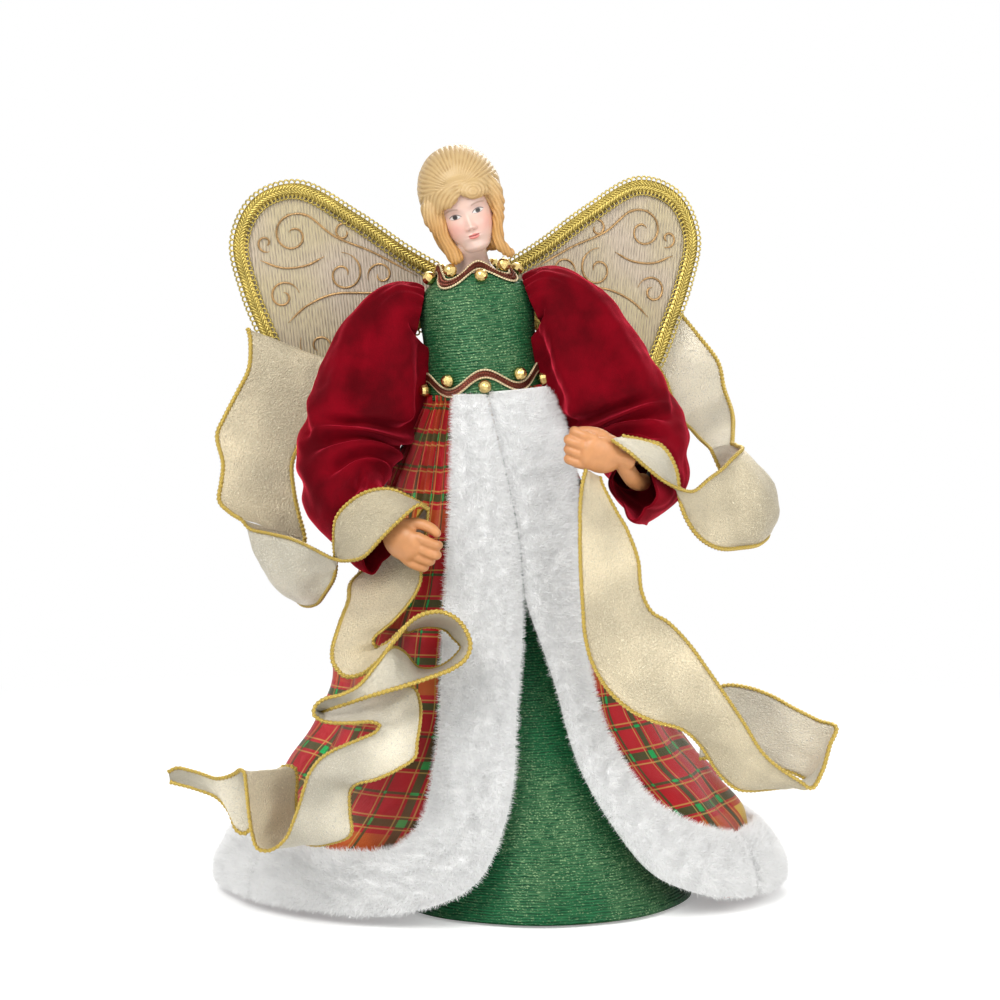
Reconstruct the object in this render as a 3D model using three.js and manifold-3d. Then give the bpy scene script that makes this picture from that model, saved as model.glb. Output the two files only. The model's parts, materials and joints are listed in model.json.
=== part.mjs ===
// Angel tree topper: a porcelain-headed doll on a hollow cone that slips over the tip of a tree.
// Millimetres, +Z up, the doll faces -Y, and its right hand is on the -X side.
// The origin is the middle of the footprint, on the surface that the cone stands on.
import * as THREE from "three";
import { mergeVertices } from "three/addons/utils/BufferGeometryUtils.js";
import Module from "manifold-3d";

const wasm = await Module();
wasm.setup();

const { lerp, smoothstep, degToRad } = THREE.MathUtils;
const V = (x, y, z) => new THREE.Vector3(x, y, z);

// Clearance between neighbouring pieces, and how the doll sits: off plumb and beside the hem's middle.
const GAP = 0.3;
const LEAN = degToRad(5.8);
const DOLL_X = 15;

// Card cone and the green skirt over it, along the doll's own axis.
const CONE = { height: 198, baseRadius: 60.5, topRadius: 13, wall: 1.5, sides: 40 };
const UNDERSKIRT = { thickness: 1, top: 186, lift: 0.6 };

// Torso and knitted bodice: half width, half depth and height above the cone.
const BODICE = { halfWidth: 23, halfDepth: 17, base: 10, height: 44, thickness: 1.2, sides: 28 };
const WAIST_Z = CONE.height + BODICE.base;
const CHEST_Z = WAIST_Z + BODICE.height;
const SHOULDER_Z = CHEST_Z - 9;

// Wavy braids with a gilt bead in each bend.
const BRAID = { width: 6, thickness: 1.6, swing: 3.7 };
const BEAD_RADIUS = 2.6;
const NECK_BENDS = 4;
const WAIST_BENDS = 5;

// Porcelain head: where the neck turns, how far the head tips, and the size of its hair.
const HEAD = { x: 2.5, y: -1.5, roll: degToRad(10), nod: degToRad(4), hairX: 17.6, hairY: 16.5, hairZ: 19.5 };

// Sleeves, the wires in them with the play of their bores, and the moulded hands.
const SLEEVE_CLOTH = 1.2;
const WIRE = { radius: 0.9, play: 0.4 };
const HAND_SCALE = 1.22;

// Wings: sheet, wire and trimming, with each wing's sweep to the rear and its turn in its own plane.
const WING = { sheet: 0.8, wireRadius: 0.8, trim: 6.4, trimThickness: 1.4, rootZ: CHEST_Z + 3 };
const WING_SWEEP = { right: degToRad(4), left: degToRad(22) };
const WING_TURN = { right: 0, left: degToRad(-11.6) };
const ANCHOR = { halfWidth: 9.5, height: 26, thickness: 1.8 };

// Tartan overskirt: a bell from the waist to the hem, its flare beyond the green skirt to the sides and
// to front and back, its folds, and the fur on its edges.
const BELL = { flareX: 50.2, flareY: 16.2, shiftY: 13, hemZ: 5, cloth: 1, waistTuck: 0.4 };
const FOLDS = { count: 13, depth: 4.2 };
const FUR = { rightWidth: 34, leftWidth: 25, hemWidth: 25, thickness: 7.5, seat: 0.8 };

// Wired ribbon.
const RIBBON = { width: 38, thickness: 1 };

const MATERIALS = {
  card: [0xb9a88c, 0.9, 0],
  green_lurex: [0x3d5230, 0.45, 0.35],
  torso: [0xc9b08a, 0.8, 0],
  porcelain: [0xe8c9ae, 0.25, 0],
  skin: [0xd9a57c, 0.4, 0],
  gilt: [0xc79a45, 0.3, 0.8],
  gimp: [0xa9853f, 0.5, 0.5],
  braid: [0x9a7440, 0.5, 0.4],
  tartan: [0x9c1f24, 0.4, 0],
  fur: [0xf3f0ea, 0.95, 0],
  velvet: [0x8e0f1c, 0.8, 0],
  wadding: [0xeeeeea, 1, 0],
  steel: [0x8a8d90, 0.4, 0.9],
  organza: [0xd8c3ad, 0.5, 0],
  ribbon: [0xd9c38f, 0.35, 0.3],
  felt: [0x8c2a2a, 0.95, 0],
};

const root = new THREE.Group();
const doll = new THREE.Group();
doll.position.x = DOLL_X;
doll.rotation.y = -LEAN;
root.add(doll);
doll.updateMatrixWorld(true);
const toWorld = (p) => p.clone().applyMatrix4(doll.matrixWorld);
const toDoll = new THREE.Matrix4().copy(doll.matrixWorld).invert();

function add(name, geometry, slot, parent = doll) {
  const [color, roughness, metalness] = MATERIALS[slot];
  const mesh = new THREE.Mesh(geometry, new THREE.MeshStandardMaterial({ color, roughness, metalness }));
  mesh.name = name;
  parent.add(mesh);
  return mesh;
}

// Smooth value at t through rows of [t, value].
function through(rows, t) {
  const last = rows.length - 1;
  const slope = (i) => {
    const a = rows[Math.max(i - 1, 0)];
    const b = rows[Math.min(i + 1, last)];
    return (b[1] - a[1]) / (b[0] - a[0]);
  };
  let i = 0;
  while (i < last - 1 && t > rows[i + 1][0]) i++;
  const h = rows[i + 1][0] - rows[i][0];
  const s = Math.min(Math.max((t - rows[i][0]) / h, 0), 1);
  const rise = rows[i + 1][1] - rows[i][1];
  const a = slope(i) * h - rise;
  const b = rise - slope(i + 1) * h;
  return rows[i][1] + rise * s + s * (1 - s) * (a * (1 - s) + b * s);
}

// Indexed faces as a closed geometry that faces out.
function closedGeometry(points, faces) {
  let volume = 0;
  const normal = V();
  for (const [a, b, c] of faces) volume += points[a].dot(normal.crossVectors(points[b], points[c]));
  const index = faces.flatMap(([a, b, c]) => (volume < 0 ? [a, c, b] : [a, b, c]));
  const geometry = new THREE.BufferGeometry().setFromPoints(points);
  geometry.setIndex(index);
  geometry.computeVertexNormals();
  return geometry;
}

// Solid between two grids of points; with closed rows it is a ring or a tube.
function slab(front, back, closed = false) {
  const rows = front.length;
  const cols = front[0].length;
  const points = [...front.flat(), ...back.flat()];
  const at = (side, r, c) => side * rows * cols + r * cols + (c % cols);
  const faces = [];
  const quad = (a, b, c, d) => faces.push([a, b, c], [a, c, d]);
  const spans = closed ? cols : cols - 1;
  for (let r = 0; r < rows - 1; r++)
    for (let c = 0; c < spans; c++) {
      quad(at(0, r, c), at(0, r, c + 1), at(0, r + 1, c + 1), at(0, r + 1, c));
      quad(at(1, r, c), at(1, r + 1, c), at(1, r + 1, c + 1), at(1, r, c + 1));
    }
  for (let c = 0; c < spans; c++) {
    quad(at(0, 0, c), at(1, 0, c), at(1, 0, c + 1), at(0, 0, c + 1));
    quad(at(0, rows - 1, c), at(0, rows - 1, c + 1), at(1, rows - 1, c + 1), at(1, rows - 1, c));
  }
  if (!closed)
    for (let r = 0; r < rows - 1; r++) {
      quad(at(0, r, 0), at(0, r + 1, 0), at(1, r + 1, 0), at(1, r, 0));
      quad(at(0, r, cols - 1), at(1, r, cols - 1), at(1, r + 1, cols - 1), at(0, r + 1, cols - 1));
    }
  return closedGeometry(points, faces);
}

// Solid through a list of rings, capped at both ends.
function loft(rings) {
  const n = rings[0].length;
  const points = rings.flat();
  const faces = [];
  for (let r = 0; r < rings.length - 1; r++)
    for (let c = 0; c < n; c++) {
      const [a, b] = [r * n + c, r * n + ((c + 1) % n)];
      faces.push([a, b, b + n], [a, b + n, a + n]);
    }
  const centre = (ring) => ring.reduce((s, p) => s.add(p), V(0, 0, 0)).divideScalar(n);
  const bottom = points.push(centre(rings[0])) - 1;
  const top = points.push(centre(rings[rings.length - 1])) - 1;
  const lastRow = (rings.length - 1) * n;
  for (let c = 0; c < n; c++) {
    const d = (c + 1) % n;
    faces.push([bottom, d, c], [top, lastRow + c, lastRow + d]);
  }
  return closedGeometry(points, faces);
}

const ellipse = (rx, ry, z, n) =>
  Array.from({ length: n }, (_, i) => {
    const a = (i / n) * 2 * Math.PI;
    return V(rx * Math.cos(a), ry * Math.sin(a), z);
  });

// Rings square to a curve, each with a radius along the carried normal and one across it.
function ringsAlong(curve, stations, n, start) {
  const normal = start.clone();
  return stations.map(({ t, a, b }) => {
    const p = curve.getPoint(t);
    const tangent = curve.getTangent(t);
    normal.addScaledVector(tangent, -normal.dot(tangent)).normalize();
    const side = V().crossVectors(tangent, normal);
    return Array.from({ length: n }, (_, i) => {
      const w = (i / n) * 2 * Math.PI;
      return p.clone().addScaledVector(normal, a * Math.cos(w)).addScaledVector(side, b * Math.sin(w));
    });
  });
}

// Round rod along points with rounded ends.
function rod(points, radii, n = 8, steps = 8) {
  const curve = new THREE.CatmullRomCurve3(points);
  const rows = radii.map((r, i) => [i / (radii.length - 1), r]);
  const stations = [];
  for (let i = 0; i <= steps; i++) {
    const t = i / steps;
    const round = i === 0 || i === steps ? 0.45 : 1;
    stations.push({ t, a: through(rows, t) * round, b: through(rows, t) * round });
  }
  const tangent = curve.getTangent(0);
  const start = Math.abs(tangent.y) < 0.8 ? V(0, 1, 0) : V(1, 0, 0);
  return loft(ringsAlong(curve, stations, n, start));
}

function ball(centre, rx, ry, rz, around = 14, up = 9) {
  const geometry = new THREE.SphereGeometry(1, around, up);
  geometry.rotateX(Math.PI / 2);
  return geometry.scale(rx, ry, rz).translate(centre.x, centre.y, centre.z);
}

function toSolid(geometry) {
  const bare = new THREE.BufferGeometry().setAttribute("position", geometry.getAttribute("position").clone());
  bare.setIndex(geometry.index ? geometry.index.clone() : null);
  const merged = mergeVertices(bare, 1e-4);
  const mesh = new wasm.Mesh({
    numProp: 3,
    vertProperties: merged.attributes.position.array,
    triVerts: new Uint32Array(merged.index.array),
  });
  return new wasm.Manifold(mesh);
}

function fromSolid(solid) {
  const mesh = solid.getMesh();
  const geometry = new THREE.BufferGeometry();
  geometry.setAttribute("position", new THREE.BufferAttribute(mesh.vertProperties, 3));
  geometry.setIndex(new THREE.BufferAttribute(mesh.triVerts, 1));
  geometry.computeVertexNormals();
  return geometry;
}

const union = (geometries) => fromSolid(geometries.map(toSolid).reduce((a, b) => a.add(b)));
const cut = (geometry, tool) => fromSolid(toSolid(geometry).subtract(toSolid(tool)));

// Everything below a height of the world, in the doll's own frame.
function groundBlock(height) {
  const block = new THREE.BoxGeometry(400, 400, 80).translate(0, 0, height - 40);
  return block.applyMatrix4(toDoll);
}

// Card cone, open at both ends and cut level at the floor.
const coneRadius = (z) => lerp(CONE.baseRadius, CONE.topRadius, z / CONE.height);
function conicalShell(inset, thickness, top, floor) {
  const heights = [-12, top * 0.5, top];
  const ring = (offset) =>
    heights.map((z) => {
      const radius = coneRadius(z) + offset;
      return ellipse(radius, radius, z, CONE.sides);
    });
  return cut(slab(ring(inset + thickness), ring(inset), true), groundBlock(floor));
}
add("base_cone", conicalShell(-CONE.wall, CONE.wall, CONE.height, 0), "card");
const greenSkirt = conicalShell(GAP, UNDERSKIRT.thickness, UNDERSKIRT.top, UNDERSKIRT.lift);
add("green_underskirt", greenSkirt, "green_lurex");

// Bodice surface: fractions of the half width and half depth at heights above the waist.
const BODICE_WIDTH = [
  [0, 1.05], [6, 1.02], [22, 1], [38, 1.02], [44, 0.95], [49, 0.75], [52, 0.62], [60, 0.5],
];
const BODICE_DEPTH = [
  [0, 1.08], [6, 1.04], [22, 1.03], [38, 0.98], [44, 0.9], [49, 0.77], [52, 0.68], [60, 0.58],
];
const BODICE_STEPS = [0, 6, 22, 38, 44, 49, 52];
const bodiceHeight = (k) => WAIST_Z + (k * BODICE.height) / 44;
const bodiceRing = (k, inset) =>
  ellipse(
    BODICE.halfWidth * through(BODICE_WIDTH, k) - inset,
    BODICE.halfDepth * through(BODICE_DEPTH, k) - inset,
    bodiceHeight(k),
    BODICE.sides,
  );
const bodiceRings = (inset) => BODICE_STEPS.map((k) => bodiceRing(k, inset));
const boreRadius = WIRE.radius + WIRE.play;
const crossBore = new THREE.CylinderGeometry(boreRadius, boreRadius, 4 * BODICE.halfWidth, 10);
crossBore.rotateZ(Math.PI / 2).translate(0, 0, SHOULDER_Z);
add("bodice", cut(slab(bodiceRings(0), bodiceRings(BODICE.thickness), true), crossBore), "green_lurex");

// Point on the bodice at an angle from the front, pushed out along the surface.
function onBodice(angle, k, offset) {
  const point = (w, h) =>
    V(
      BODICE.halfWidth * through(BODICE_WIDTH, h) * Math.sin(w),
      -BODICE.halfDepth * through(BODICE_DEPTH, h) * Math.cos(w),
      bodiceHeight(h),
    );
  const p = point(angle, k);
  const around = point(angle + 0.02, k).sub(point(angle - 0.02, k));
  const up = point(angle, k + 0.5).sub(point(angle, k - 0.5));
  return p.addScaledVector(V().crossVectors(around, up).normalize(), offset);
}

// Torso block under the bodice, on the cone, bored for the arm wires.
const torsoInset = BODICE.thickness + 2 * GAP;
const torsoTop = 42;
const torsoRings = [
  ellipse(CONE.topRadius, CONE.topRadius, CONE.height + GAP, BODICE.sides),
  ellipse(CONE.topRadius + 3, CONE.topRadius, WAIST_Z - 4, BODICE.sides),
  ...[6, 22, torsoTop].map((k) => bodiceRing(k, torsoInset)),
];
add("torso_block", cut(loft(torsoRings), crossBore), "torso");

// Porcelain head with its moulded hair, neck and shoulder plate.
const headTurn = new THREE.Matrix4()
  .makeTranslation(HEAD.x, HEAD.y, CHEST_Z + 10)
  .multiply(new THREE.Matrix4().makeRotationY(-HEAD.roll))
  .multiply(new THREE.Matrix4().makeRotationX(HEAD.nod));
const plateRings = [
  [torsoTop + 0.4, 1.9],
  [44, 1.9],
  [48, 2.6],
  [51, 4.5],
].map(([k, inset]) => bodiceRing(k, inset));
const hairCentre = V(0.8, 1.5, HEAD.hairZ + 11);
const headParts = [
  ball(hairCentre, HEAD.hairX, HEAD.hairY, HEAD.hairZ, 18, 11),
  ball(V(1.5, -6.5, 21), 10.2, 11, 13.5, 14, 9),
  ball(V(1.5, -17.4, 18.4), 1.5, 1.9, 2.6, 8, 5),
  rod([V(0, 1, -8.5), V(0.5, 0.5, 0), V(1, -1, 14)], [7.4, 6, 6.6], 12, 4),
  rod([V(13, -4, 27), V(15.5, -5, 17), V(12.5, -7, 8), V(10.5, -6.5, 5)], [5, 5, 4, 3], 8, 5),
  rod([V(-13, -4, 27), V(-14, -6, 16), V(-10, -8, 9), V(-9, -7, 6.5)], [5, 4.6, 3.6, 2.8], 8, 5),
].map((g) => g.applyMatrix4(headTurn));
add("porcelain_head", union([...headParts, loft(plateRings)]), "porcelain");

// Wavy braids laid on the bodice, with a bead in each bend.
function wavyBraid(name, beadName, level, bends) {
  const steps = bends * 8;
  const wave = (angle) => level + BRAID.swing * Math.cos(bends * angle);
  const rows = [-0.5, 0, 0.5];
  const grid = (offset) =>
    rows.map((r) =>
      Array.from({ length: steps }, (_, i) => {
        const angle = (i / steps) * 2 * Math.PI;
        return onBodice(angle, wave(angle) + r * BRAID.width, offset);
      }),
    );
  add(name, slab(grid(GAP + BRAID.thickness), grid(GAP), true), "braid");
  const reach = BRAID.width / 2 + BEAD_RADIUS + 2 * GAP;
  for (let i = 0; i < 2 * bends; i++) {
    const angle = (i * Math.PI) / bends;
    const inward = i % 2 ? 1 : -1;
    const centre = onBodice(angle, wave(angle) + inward * reach, BEAD_RADIUS + GAP);
    add(`${beadName}_${i + 1}`, ball(centre, BEAD_RADIUS, BEAD_RADIUS, BEAD_RADIUS, 7, 4), "gilt");
  }
}
wavyBraid("neck_braid", "neck_bead", 51, NECK_BENDS);
wavyBraid("waist_braid", "waist_bead", 8.5, WAIST_BENDS);

// Arms: offsets of the wire from the shoulder, then the sleeve at points of the wire: radius from
// back to front, and radius across.
const ARMS = {
  right: {
    sign: -1,
    wire: [
      [9, 0, 0], [0, 0, 0], [-8, -1, 2], [-17, -3, -8], [-28, -7, -28],
      [-37, -13, -47], [-39, -26, -64], [-33, -38, -75], [-26, -47, -80], [-20, -55, -79],
    ],
    finger: V(20, -13, -11.5),
    thumb: V(0.2, -0.2, 1),
    curl: 0.35,
  },
  left: {
    sign: 1,
    wire: [
      [-9, 0, 0], [0, 0, 0], [8, -1, 2], [18, -3, -10], [29, -7, -32],
      [39, -13, -53], [41, -26, -67], [37, -38, -72], [33, -47, -70], [28, -55, -60],
    ],
    finger: V(-19, -8, 7),
    thumb: V(0.35, -0.15, 1),
    curl: 1,
  },
};
const SLEEVE_RADII = [
  [1.15, 11, 12.5], [2, 14, 14.5], [3, 15, 17], [4, 15.5, 18.5],
  [5, 16, 18], [6, 16.5, 15.5], [7, 15.5, 12.5], [8, 17, 9.5],
];
const ELBOW = 5;
const elbowAt = {};
const handAt = {};

// Hand in its own frame: wrist at the origin, fingers along +X, thumb side +Z, closing towards +Y.
function handParts(curl) {
  const parts = [
    ball(V(6.5, 0, -0.4), 7.6, 3.4, 6.3, 10, 7),
    rod([V(-3, 0, 0), V(0, 0, 0), V(5, 0, 0)], [3.1, 3.2, 3.2], 8, 3),
  ];
  const thumb = [V(4, 1, 4), V(8, 2.4, 7.6), V(12.5, 3 + curl, 8.6), V(15.5, 3 + 2 * curl, 8)];
  parts.push(rod(thumb, [2, 1.9, 1.7, 1.3], 7, 5));
  for (let i = 0; i < 4; i++) {
    const z = 4.4 - 3.1 * i;
    const reach = 1 - 0.06 * Math.abs(i - 1);
    const tip = lerp(20.5, 14, curl) * reach;
    const points = [
      V(10.5, 0, z * 0.95),
      V(15 * reach, 0.4 + curl, z),
      V(lerp(18.5, 17.5, curl) * reach, lerp(2.2, 4, curl), z),
      V(tip, lerp(4.4, 6.6, curl), z * 0.97),
    ];
    parts.push(rod(points, [1.8, 1.8, 1.65, 1.35], 7, 5));
  }
  return parts;
}

for (const [side, arm] of Object.entries(ARMS)) {
  const shoulder = V(arm.sign * BODICE.halfWidth, 0, SHOULDER_Z);
  const points = arm.wire.map(([x, y, z]) => shoulder.clone().add(V(x, y, z)));
  const curve = new THREE.CatmullRomCurve3(points);
  const last = points.length - 1;
  elbowAt[side] = toWorld(points[ELBOW]);
  handAt[side] = toWorld(points[last]);
  const wireRings = (radius, from, to, steps, sides) => {
    const stations = Array.from({ length: steps + 1 }, (_, i) => {
      const t = lerp(from, to, i / steps);
      return { t, a: radius, b: radius };
    });
    return ringsAlong(curve, stations, sides, V(0, 1, 0));
  };
  const bore = loft(wireRings(boreRadius, 0, 1, 24, 6));

  const sleeveRings = (rows, inset) =>
    ringsAlong(curve, rows.map(([k, a, b]) => ({ t: k / last, a: a - inset, b: b - inset })), 16, V(0, 1, 0));
  const sleeve = slab(sleeveRings(SLEEVE_RADII, 0), sleeveRings(SLEEVE_RADII, SLEEVE_CLOTH), true);
  add(`sleeve_${side}`, sleeve, "velvet");
  const wadding = loft(sleeveRings(SLEEVE_RADII.slice(1, -1), SLEEVE_CLOTH + 2 * GAP));
  add(`sleeve_wadding_${side}`, cut(wadding, bore), "wadding");
  add(`arm_wire_${side}`, loft(wireRings(WIRE.radius, 0, 1, 24, 6)), "steel");

  // Hand, mirrored for the left, bored for the end of the wire.
  const x = arm.finger.clone().normalize();
  const y = V().crossVectors(arm.thumb, x).normalize().multiplyScalar(-arm.sign);
  const z = V().crossVectors(x, y).multiplyScalar(-arm.sign);
  const frame = new THREE.Matrix4().makeBasis(x, y, z).scale(V(HAND_SCALE, HAND_SCALE, HAND_SCALE));
  const hand = union(handParts(arm.curl)).applyMatrix4(frame.setPosition(points[last]));
  if (frame.determinant() < 0) hand.index.array.reverse();
  add(`hand_${side}`, cut(hand, bore), "skin");
}

// Wing outline from the root, outwards and up, in the wing's own plane.
const WING_OUTLINE = [
  [4, 6], [18, 16], [37, 32], [60, 47], [78, 43], [88, 27], [86, 6],
  [81, -12], [75, -30], [66, -42], [48, -36], [26, -22], [4.5, -9],
];
const WING_STEPS = 38;
const wingCurve = new THREE.CatmullRomCurve3(WING_OUTLINE.map(([u, w]) => V(u, 0, w)));

// Strip of the wing's edge between two distances inside the outline, and two depths.
function edgeStrip(outer, inner, front, back) {
  const side = (inset, depth) =>
    Array.from({ length: WING_STEPS + 1 }, (_, i) => {
      const t = i / WING_STEPS;
      const tangent = wingCurve.getTangent(t);
      return wingCurve.getPoint(t).add(V(tangent.z * inset, depth, -tangent.x * inset));
    });
  return slab([side(outer, front), side(inner, front)], [side(outer, back), side(inner, back)]);
}

// Felt pad on the back of the bodice, which the wings are fixed to.
const anchorTop = WING.rootZ - 1;
const anchorLevels = [0, 0.25, 0.5, 0.75, 1].map((f) => anchorTop - f * ANCHOR.height - WAIST_Z);
const anchorDepths = anchorLevels.map((h) => through(BODICE_DEPTH, (h * 44) / BODICE.height));
const backY = BODICE.halfDepth * Math.max(...anchorDepths) + GAP;
const anchor = new THREE.BoxGeometry(2 * ANCHOR.halfWidth, ANCHOR.thickness, ANCHOR.height);
anchor.translate(0, backY + ANCHOR.thickness / 2, anchorTop - ANCHOR.height / 2);
add("wing_anchor", anchor, "felt");

const hingeY = backY + ANCHOR.thickness + GAP + WING.wireRadius;
const hingeX = ANCHOR.halfWidth - WING.wireRadius + GAP;
const wingAt = {};
for (const side of ["right", "left"]) {
  const sign = side === "right" ? -1 : 1;
  const wing = new THREE.Group();
  wing.position.set(sign * hingeX, hingeY, WING.rootZ);
  wing.rotation.set(0, sign * -WING_TURN[side], sign * WING_SWEEP[side], "ZYX");
  wing.scale.x = sign;
  doll.add(wing);
  wingAt[side] = toWorld(wing.position);

  const inset = 1.6;
  const path = [];
  for (let i = 0; i <= WING_STEPS; i++) {
    const t = i / WING_STEPS;
    const tangent = wingCurve.getTangent(t);
    path.push(wingCurve.getPoint(t).add(V(tangent.z * inset, 0, -tangent.x * inset)));
  }
  const upright = new THREE.Vector3(Math.sin(WING_TURN[side]), 0, Math.cos(WING_TURN[side]));
  const stem = [-8, 4].map((h) => upright.clone().multiplyScalar(h));
  const wirePath = [...stem, ...path.slice(2, -2), V(5, 0, -11)];
  const wireCurve = new THREE.CatmullRomCurve3(wirePath, false, "centripetal");
  const radius = WING.wireRadius;
  const stations = Array.from({ length: 41 }, (_, i) => ({ t: i / 40, a: radius, b: radius }));
  add(`wing_wire_${side}`, loft(ringsAlong(wireCurve, stations, 5, V(0, 1, 0))), "steel", wing);

  const sheetBack = -WING.wireRadius - GAP;
  const sheetFront = sheetBack - WING.sheet;
  const outline = new THREE.Shape(wingCurve.getPoints(WING_STEPS).map((p) => new THREE.Vector2(p.x, p.z)));
  const panel = new THREE.ExtrudeGeometry(outline, { depth: WING.sheet, bevelEnabled: false });
  panel.rotateX(Math.PI / 2).translate(0, sheetBack, 0);
  add(`wing_panel_${side}`, panel, "organza", wing);

  const trimBack = sheetFront - GAP;
  const trim = edgeStrip(WING.trim * -0.3, WING.trim * 0.7, trimBack - WING.trimThickness, trimBack);
  add(`wing_braid_${side}`, trim, "gimp", wing);
}

// Bell of the overskirt. The angle runs from the front towards +X; s from the waist (0) to the floor (1).
const BELL_PROFILE = [[0, 0], [0.23, 0.25], [0.46, 0.48], [0.61, 0.54], [0.76, 0.75], [0.94, 1], [1, 1.04]];
const BELL_DEPTH = [[0, 0], [0.23, 0.34], [0.46, 0.62], [0.61, 0.72], [0.76, 0.84], [0.94, 1], [1, 1.03]];
const waist = toWorld(V(0, 0, WAIST_Z - GAP));
const waistX = BODICE.halfWidth;
const waistY = BODICE.halfDepth - BELL.waistTuck;
const greenRadius = CONE.baseRadius + GAP + UNDERSKIRT.thickness;
const hemX = greenRadius + BELL.flareX;
const hemY = greenRadius + BELL.flareY;
function bell(angle, s, offset = 0) {
  const point = (w, h) => {
    const f = through(BELL_PROFILE, h);
    const ease = h * h * (3 - 2 * h);
    const rx = lerp(waistX, hemX, f);
    const ry = lerp(waistY, hemY, through(BELL_DEPTH, h));
    const fold = foldDepth(w, h);
    const top = waist.z + rx * Math.sin(w) * Math.sin(LEAN) * (1 - h);
    return V(
      lerp(waist.x, 0, ease) + (rx + fold) * Math.sin(w),
      lerp(0, BELL.shiftY, ease) - (ry + fold) * Math.cos(w),
      top * (1 - h),
    );
  };
  const p = point(angle, s);
  const around = point(angle + 0.02, s).sub(point(angle - 0.02, s));
  const up = point(angle, s - 0.01).sub(point(angle, s + 0.01));
  return p.addScaledVector(V().crossVectors(around, up).normalize(), offset);
}

// Front edges of the overskirt: [s, angle in degrees].
const RIGHT_EDGE = [[0, 14], [0.23, 0], [0.52, -3], [0.71, -6], [0.85, -12], [0.93, -24], [1, -34]];
const LEFT_EDGE = [[0, 50], [0.23, 34], [0.44, 27], [0.7, 30], [0.82, 37], [0.92, 48], [1, 56]];
const rightEdge = (s) => degToRad(through(RIGHT_EDGE, s));
const leftEdge = (s) => degToRad(through(LEFT_EDGE, s));

// Gathers: flat beside the front edges and at the waist, deepest halfway down.
function foldDepth(angle, s) {
  const turn = THREE.MathUtils.euclideanModulo(angle + Math.PI / 2, 2 * Math.PI) - Math.PI / 2;
  const away = turn > Math.PI / 9 ? turn - leftEdge(s) : rightEdge(s) - turn;
  const calm = smoothstep(Math.abs(away), 0.35, 0.9);
  const swell = smoothstep(s, 0, 0.35) * (1 - 0.6 * smoothstep(s, 0.8, 1));
  return FOLDS.depth * swell * calm * (Math.cos(FOLDS.count * angle) - 1) * 0.5;
}

const SKIRT_ROWS = 8;
const SKIRT_COLS = 60;
function skirtGrid(offset) {
  return Array.from({ length: SKIRT_ROWS + 1 }, (_, r) => {
    const s = lerp(0, 1 - BELL.hemZ / waist.z, r / SKIRT_ROWS);
    return Array.from({ length: SKIRT_COLS + 1 }, (_, c) => {
      const angle = lerp(rightEdge(s), leftEdge(s) - 2 * Math.PI, c / SKIRT_COLS);
      return bell(angle, s, offset);
    });
  });
}
add("overskirt", slab(skirtGrid(0), skirtGrid(-BELL.cloth)), "tartan", root);

// Fur band along a route on the bell, rounded across; the route is a list of [s, angle in degrees].
const HEM_S = 0.925;
const SEAM = { right: -60, left: 66 };
const FUR_PROFILE = [[-0.5, 0.3], [-0.3, 0.85], [0, 1], [0.3, 0.85], [0.5, 0.3]];
function furBand(name, route, widths, steps) {
  const flat = new THREE.CatmullRomCurve3(route.map(([s, a]) => V(s, degToRad(a), 0)), false, "centripetal");
  const grid = (height) =>
    Array.from({ length: steps + 1 }, (_, i) => {
      const t = i / steps;
      const { x: s, y: angle } = flat.getPoint(t);
      const run = flat.getTangent(t);
      const perAngle = bell(angle + 0.01, s).distanceTo(bell(angle - 0.01, s)) / 0.02;
      const perS = bell(angle, s + 0.005).distanceTo(bell(angle, s - 0.005)) / 0.01;
      const across = new THREE.Vector2(run.y * perAngle, -run.x * perS).normalize();
      const width = through(widths, t);
      return FUR_PROFILE.map(([w, crown]) => {
        const ds = (across.x * w * width) / perS;
        const da = (across.y * w * width) / perAngle;
        return bell(angle + da, s + ds, FUR.seat + FUR.thickness * crown * height);
      });
    });
  add(name, slab(grid(1), grid(0)), "fur", root);
}
furBand(
  "fur_front_right",
  [
    [0.02, 14], [0.23, 0], [0.52, -3], [0.71, -6],
    [0.83, -12], [0.9, -24], [HEM_S, -42], [HEM_S, SEAM.right + 1],
  ],
  [[0, FUR.rightWidth], [0.7, FUR.rightWidth], [1, FUR.hemWidth]],
  26,
);
furBand(
  "fur_front_left",
  [
    [0.03, 66], [0.12, 51], [0.23, 39], [0.44, 29], [0.7, 33],
    [0.82, 39], [0.9, 49], [HEM_S, 58], [HEM_S, SEAM.left - 1],
  ],
  [[0, 6], [0.2, FUR.leftWidth * 0.72], [0.4, FUR.leftWidth], [1, FUR.hemWidth]],
  22,
);
furBand(
  "fur_hem",
  Array.from({ length: 12 }, (_, i) => [HEM_S, lerp(SEAM.right - 1, SEAM.left + 1 - 360, i / 11)]),
  [[0, FUR.hemWidth], [1, FUR.hemWidth]],
  40,
);

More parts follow.
